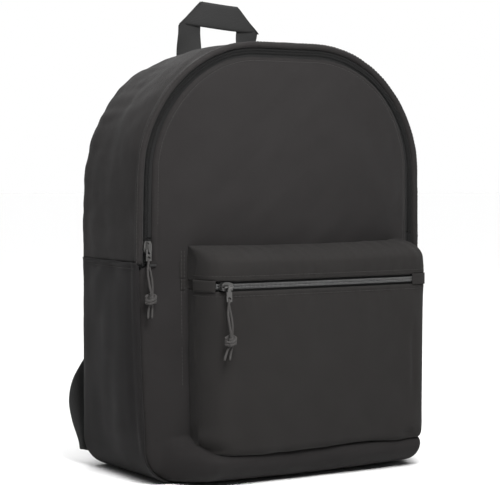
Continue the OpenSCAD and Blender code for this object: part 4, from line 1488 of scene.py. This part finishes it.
    def hardware(self) -> None:
        """Makes the ladder lock, the loop that holds it and the webbing's tail."""
        self.ladder_lock()
        half = self.webbing_w
        loop = np.array([[0, 3.2, 26], [0, 3.0, 18], [0, 2.9, 14], [0, 1.6, 10.4], [0, 0, 9.2],
                         [0, -1.6, 10.4],
                         [0, -2.9, 14], [0, -3.0, 18], [0, -3.2, 26]]) * MM
        line = self.at_lock(through(loop, 1.2 * MM))
        width = self.at_lock(np.array([[1.0, 0, 0]])) - self.at_lock(np.zeros((1, 3)))
        across = np.tile(unit(width)[0], (len(line), 1))
        out = unit(np.cross(across, unit(np.gradient(line, axis=0))))
        band = sweep(f"{self.name}_loop", line, across, out, flat_section(1.5 * MM), np.full(len(line), half),
                     Finish.WEBBING, self.wardrobe)
        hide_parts(f"{self.name}_lock_loop")
        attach(band, f"{self.name}_strap")
        low = -14 * MM - self.tail + 6 * MM
        way = np.array([[0, 2.6, 4 + 1.5], [0, 3.4, -4], [0, 4.0, -12], [0, 3.6, -40], [0, 4.4, -75],
                        [0, 3.6, low / MM + 1.2], [0, 2.2, low / MM + 0.2], [0, 1.2, low / MM + 4],
                        [0, 1.8, low / MM + 18]]) * MM
        line = self.at_lock(through(way, 1.5 * MM))
        across = np.tile(unit(width)[0], (len(line), 1))
        out = unit(np.cross(across, unit(np.gradient(line, axis=0))))
        tail = sweep(f"{self.name}_tail", line, across, out, flat_section(self.webbing_t),
                     np.full(len(line), half),
                     Finish.WEBBING, self.wardrobe)
        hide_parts(f"{self.name}_webbing_tail")
        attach(tail, f"{self.name}_tail")

    def ladder_lock(self) -> None:
        """Shapes the moulded ladder lock: a frame, a middle bar and a thumb lip."""
        t = 4 * MM
        bpy.ops.object.select_all(action="DESELECT")
        bpy.ops.mesh.primitive_grid_add(x_subdivisions=3, y_subdivisions=5, size=1)
        frame_piece = bpy.context.object
        xs, ys = np.array([-22, -17, 17, 22]) * MM, np.array([-14, -10, -2, 2, 10, 14]) * MM
        for v in frame_piece.data.vertices:
            i, j = round((v.co.x + 0.5) * 3), round((v.co.y + 0.5) * 5)
            v.co = Vector((xs[i], -t / 2, ys[j]))
        holes = [f.index for f in frame_piece.data.polygons
                 if abs(f.center.x) < 10 * MM and 3 * MM < abs(f.center.z) < 9 * MM]
        bpy.ops.object.mode_set(mode="EDIT")
        bpy.ops.mesh.select_mode(type="FACE")
        bpy.ops.mesh.select_all(action="DESELECT")
        bpy.ops.object.mode_set(mode="OBJECT")
        for index in holes:
            frame_piece.data.polygons[index].select = True
        bpy.ops.object.mode_set(mode="EDIT")
        bpy.ops.mesh.delete(type="FACE")
        bpy.ops.mesh.select_all(action="SELECT")
        bpy.ops.mesh.extrude_region_move(TRANSFORM_OT_translate={"value": (0, t, 0)})
        bpy.ops.mesh.select_all(action="SELECT")
        bpy.ops.mesh.normals_make_consistent(inside=False)
        bpy.ops.object.mode_set(mode="OBJECT")
        bevel = frame_piece.modifiers.new("Round", "BEVEL")
        bevel.width, bevel.segments = 1.0 * MM, 3
        apply_all(frame_piece)
        co = np.array([v.co for v in frame_piece.data.vertices])
        co[:, 1] += 2.2 * MM * smooth((-co[:, 2] - 9 * MM) / (5 * MM))
        moved = self.at_lock(co)
        for v, p in zip(frame_piece.data.vertices, moved):
            v.co = Vector(p)
        frame_piece.name = f"{self.name}_ladder"
        frame_piece.data.polygons.foreach_set("use_smooth", [True] * len(frame_piece.data.polygons))
        self.wardrobe.dress(frame_piece, Finish.PLASTIC)
        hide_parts(f"{self.name}_ladder_lock")
        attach(frame_piece, f"{self.name}_strap")


@dataclass
class Handle:
    """The grab handle: one length of webbing with a folded mitre at each shoulder."""

    bag: Bag
    wardrobe: Wardrobe
    width: float = 25 * MM
    out: float = 45 * MM
    turn: float = 22.0
    droop: float = 5 * MM

    def build(self) -> None:
        """Makes the three stretches of webbing, folded over each other at the shoulders."""
        low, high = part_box("grab_handle")
        top = high.z - self.width / 2
        y = (low.y + high.y) / 2
        mid = self.out - self.width / 2
        foot = self.bag.tall - self.bag.back_drop - 7 * MM
        body = "handle"
        a = math.radians(self.turn)
        for side in (-1, 1):
            start = np.array([side * mid, y + 0.9 * MM, foot])
            lean = np.array([side * 1.0, -2.2, -self.droop / MM * (side > 0)]) * MM
            line = through([start, start + [0, 0, 0.018],
                            np.array([side * mid, y, top - self.width * 0.1]) + lean,
                            np.array([side * mid, y, top + self.width / 2 - 1.0 * MM]) + lean], 1.5 * MM)
            turned = a * (1 - smooth((line[:, 2] - foot - 0.008) / (top - foot - 0.026)))
            across = np.stack([np.cos(turned), side * np.sin(turned), np.zeros(len(line))], -1)
            out = unit(np.cross(across, unit(np.gradient(line, axis=0))))
            leg = self.cut(line, across, out, side, f"handle_leg_{'left' if side < 0 else 'right'}", leg=True)
            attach(leg, body)
            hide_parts("grab_handle")
        xs = np.linspace(-self.out, self.out, 50)
        sag = (-self.droop * smooth((xs + self.out) / (2 * self.out))
               - 1.5 * MM * np.cos(xs / self.out * math.pi / 2))
        line = np.stack([xs, y - 1.0 * MM - 4.0 * MM * np.cos(xs / self.out * math.pi / 2),
                         top + sag + 0.5 * MM], -1)
        across = np.tile([0.0, 0.0, 1.0], (len(line), 1))
        out = unit(np.cross(across, unit(np.gradient(line, axis=0))))
        grip = self.cut(line, across, out, 1, "handle_grip", leg=False)
        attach(grip, body)
        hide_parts("grab_handle")

    def cut(self, line: Grid, across: Grid, out: Grid, side: int, name: str, leg: bool) -> bpy.types.Object:
        """Makes one stretch of webbing with its ends cut along the mitres.

        Args:
            line: Its middle line.
            across: Its width direction along the line.
            out: Its thickness direction along the line.
            side: Which side the stretch is on.
            name: The piece's name.
            leg: Whether it is an upright leg, not the grip.

        Returns:
            The stretch.
        """
        section = flat_section(1.8 * MM)
        half = self.width / 2
        rings = (line[:, None] + across[:, None] * section[None, :, :1] * half
                 + out[:, None] * section[None, :, 1:])
        s = section[:, 0][None, :] * half
        run = run_along(line)
        total = run[-1]
        if leg:
            gone = np.clip(run[:, None] - total + half + side * s, 0, None)
            rings = rings - unit(np.gradient(line, axis=0))[:, None] * gone[..., None]
        else:
            for end, way in ((0.0, 1.0), (total, -1.0)):
                depth = np.abs(run[:, None] - end)
                need = half + s
                gone = np.clip(need - depth, 0, None)
                rings = rings + unit(np.gradient(line, axis=0))[:, None] * (gone * way)[..., None]
        uv = np.stack(np.meshgrid(run, np.concatenate([s[0][:12], s[0][12:] + 0.05]), indexing="ij"), -1)
        count = section.shape[0]
        faces = [list(f) for f in grid_faces(len(line), count, True)]
        last = (len(line) - 1) * count
        faces += [list(range(count))[::-1], [last + k for k in range(count)]]
        piece = put_in_scene(name, rings, faces, uv)
        self.wardrobe.dress(piece, Finish.WEBBING)
        return piece


@dataclass
class Back:
    """The padded back, its yoke patch and the two inner bindings."""

    bag: Bag
    wardrobe: Wardrobe
    box: SewingBox

    def build(self) -> None:
        """Makes the quilted spacer-mesh panel and the patch that the straps are sewn under."""
        bag = self.bag
        z = np.concatenate([np.linspace(1.5 * MM, 0.03, 12), np.arange(0.033, bag.knee, 3 * MM),
                            bag.knee + (bag.top_r - 1.5 * MM) * np.sin(np.linspace(0, math.pi / 2, 46))[1:]])
        xi = np.linspace(-1, 1, 110)
        zz = np.repeat(z[:, None], len(xi), axis=1)
        x = bag.half_width(z, np.full(len(z), 1.5 * MM))[:, None] * xi[None]
        deep = bag.inside(x, zz)
        puff = 2.6 * MM * smooth(deep / (14 * MM))
        for seam in (0.0, 52 * MM, 104 * MM):
            puff = puff - 2.4 * MM * hill(np.abs(x), seam,
                                          4.5 * MM) * smooth((zz - 0.02) / 0.02) * smooth((0.345 - zz) / 0.02)
        puff += Folds(51).at(x, zz, 50 * MM, 2) * 0.7 * MM * smooth(deep / 0.02)
        y = bag.back - 0.8 * MM + puff
        points = bag.settle(np.stack([x, y, zz], -1))
        panel = make_sheet("back_padding", points, 1.2 * MM)
        self.wardrobe.dress(panel, Finish.MESH)
        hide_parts("back_panel")
        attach(panel, "root")
        x0, z0, z1 = 86 * MM, 346 * MM, 389 * MM
        u = np.linspace(-1, 1, 60)
        rows = []
        for t in np.linspace(0, 1, 20):
            height = z0 + (z1 - z0) * t
            reach = min(x0, float(bag.half_width(np.array([height]), np.array([9 * MM]))[0]))
            rows.append(np.column_stack([u * reach, np.full(60, bag.back + 2.4 * MM),
                                         np.full(60, height - 2 * MM)]))
        grid = np.stack(rows)
        grid[..., 1] += Folds(52).at(grid[..., 0], grid[..., 2], 24 * MM, 2) * 0.8 * MM
        patch = make_sheet("yoke_cloth", grid, 1.2 * MM)
        self.wardrobe.dress(patch, Finish.STRAP)
        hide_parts("yoke_patch")
        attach(patch, "root")
        for k in (2, 17):
            self.box.sew("root", grid[k], np.tile([0.0, 1.0, 0.0], (60, 1)))
        for node, finish in (("back_foam", Finish.FOAM), ("back_lining", Finish.LINING),
                             ("back_seam_binding", Finish.BINDING), ("front_seam_binding", Finish.BINDING)):
            moved_copy(self.wardrobe, node, "root", finish, bag.settle)



# ---- the shot ----------------------------------------------------------------------------------


@dataclass(frozen=True)
class Camera:
    """The camera in front and to the left, at the height of the bag's middle."""

    turn: float = -31.9
    rise: float = 2.4
    away: float = 1.647
    lens: float = 122.5
    target: tuple[float, float, float] = (0.0, 0.0067, 0.215)
    shift: tuple[float, float] = (0.0, -0.0048)

    def build(self) -> None:
        """Adds the camera and points it at its target."""
        a, e = math.radians(self.turn), math.radians(self.rise)
        back = Vector((math.sin(a) * math.cos(e), -math.cos(a) * math.cos(e), math.sin(e)))
        camera = bpy.data.objects.new("camera", bpy.data.cameras.new("camera"))
        bpy.context.scene.collection.objects.link(camera)
        camera.location = Vector(self.target) + back * self.away
        camera.rotation_euler = back.to_track_quat("Z", "Y").to_euler()
        camera.data.lens = self.lens
        camera.data.sensor_width = 36.0
        camera.data.shift_x, camera.data.shift_y = self.shift
        camera.data.clip_end = 20.0
        bpy.context.scene.camera = camera


@dataclass(frozen=True)
class Studio:
    """A pale floor, soft lights and an even sky."""

    sky: float = 1.0
    dim: float = 0.12
    overhead: float = 2.8
    backdrop: tuple[float, float] = (0.53, 0.85)
    half_floor: float = 60.0

    def light(self, name: str, place: Point, size: float, power: float) -> None:
        """Adds one square soft light that points at the bag."""
        lamp = bpy.data.lights.new(name, "AREA")
        lamp.size = size
        lamp.energy = power
        holder = bpy.data.objects.new(name, lamp)
        holder.location = Vector(place)
        holder.rotation_euler = (Vector(place) - Vector((0, 0, 0.2))).to_track_quat("Z", "Y").to_euler()
        bpy.context.scene.collection.objects.link(holder)

    def build(self) -> None:
        """Adds the floor, the lights and the sky."""
        h = self.half_floor
        corners = np.array([[-h, -h, 0], [h, -h, 0], [h, h, 0], [-h, h, 0]])
        floor = put_in_scene("floor", corners, [[0, 1, 2, 3]])
        paint = bpy.data.materials.new("floor")
        paint.use_nodes = True
        shader = paint.node_tree.nodes["Principled BSDF"]
        shader.inputs["Base Color"].default_value = (0.82, 0.82, 0.82, 1)
        shader.inputs["Roughness"].default_value = 0.9
        floor.data.materials.append(paint)
        world = bpy.data.worlds.new("sky")
        world.use_nodes = True
        n = Nodes(world.node_tree)
        aim = n.split(n.add("ShaderNodeTexCoord").outputs["Generated"])
        behind = n.math("ADD", n.math("MULTIPLY", aim[0], self.backdrop[0]),
                        n.math("MULTIPLY", aim[1], self.backdrop[1]))
        bright = n.math("MAXIMUM", n.between(behind, 0.78, 0.92, self.dim, self.sky),
                        n.between(aim[2], 0.66, 0.88, self.dim, self.sky * self.overhead))
        n.tree.links.new(bright, world.node_tree.nodes["Background"].inputs[1])
        world.node_tree.nodes["Background"].inputs[0].default_value = (1, 1, 1, 1)
        bpy.context.scene.world = world
        self.light("key", (-0.2, -0.62, 0.72), 0.35, 11)
        self.light("top", (-0.7, 0.5, 1.8), 0.7, 3)
        self.light("rim", (0.6, 1.8, 1.6), 1.0, 12)
        bpy.context.scene.view_settings.view_transform = "Standard"


PACKED_FINISH: dict[str, Finish] = {
    "band_zip_stops": Finish.STOP, "pocket_slider": Finish.METAL, "pocket_pull_tab": Finish.METAL,
}
# Where each pull's cord leaves its tab
MAIN_HOLE = Vector((-0.1424, -0.0616, 0.20455))
POCKET_HOLE = Vector((-0.097, -0.1146, 0.1696))


def dress_packed(wardrobe: Wardrobe) -> None:
    """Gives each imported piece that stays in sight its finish."""
    for node, finish in PACKED_FINISH.items():
        wardrobe.dress(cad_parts[node], finish)


def main() -> None:
    """Builds every sub-assembly in order."""
    logging.basicConfig(level=logging.INFO, format="%(name)s: %(message)s")
    wardrobe, bag, box = Wardrobe(), Bag(), SewingBox()
    dress_packed(wardrobe)
    FrontCloth(bag, wardrobe, box).build()
    Rim(bag, wardrobe, box, low=False).build()
    Rim(bag, wardrobe, box, low=True).build()
    MainZip(bag, wardrobe).build()
    Pocket(bag, wardrobe, box).build()
    Back(bag, wardrobe, box).build()
    Handle(bag, wardrobe).build()
    for side in (-1, 1):
        Strap(bag, wardrobe, box, side).build()
    slider = np.array(sum(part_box("main_slider"), Vector()) / 2)
    nudge = bag.swell(slider) - slider
    for node, body in (("main_slider", "main_slider"), ("main_pull_tab", "main_tab")):
        moved_copy(wardrobe, node, body, Finish.METAL, lambda points: points + nudge)
    PullCord(wardrobe, "main", MAIN_HOLE + Vector(nudge), 5 * MM, -2.0, (-4.5, -0.5)).build()
    PullCord(wardrobe, "pocket", POCKET_HOLE, 3.5 * MM, -2.5, (-8.5, -3.0)).build()
    box.finish(wardrobe)
    Camera().build()
    Studio().build()


if __name__ == "__main__":
    main()
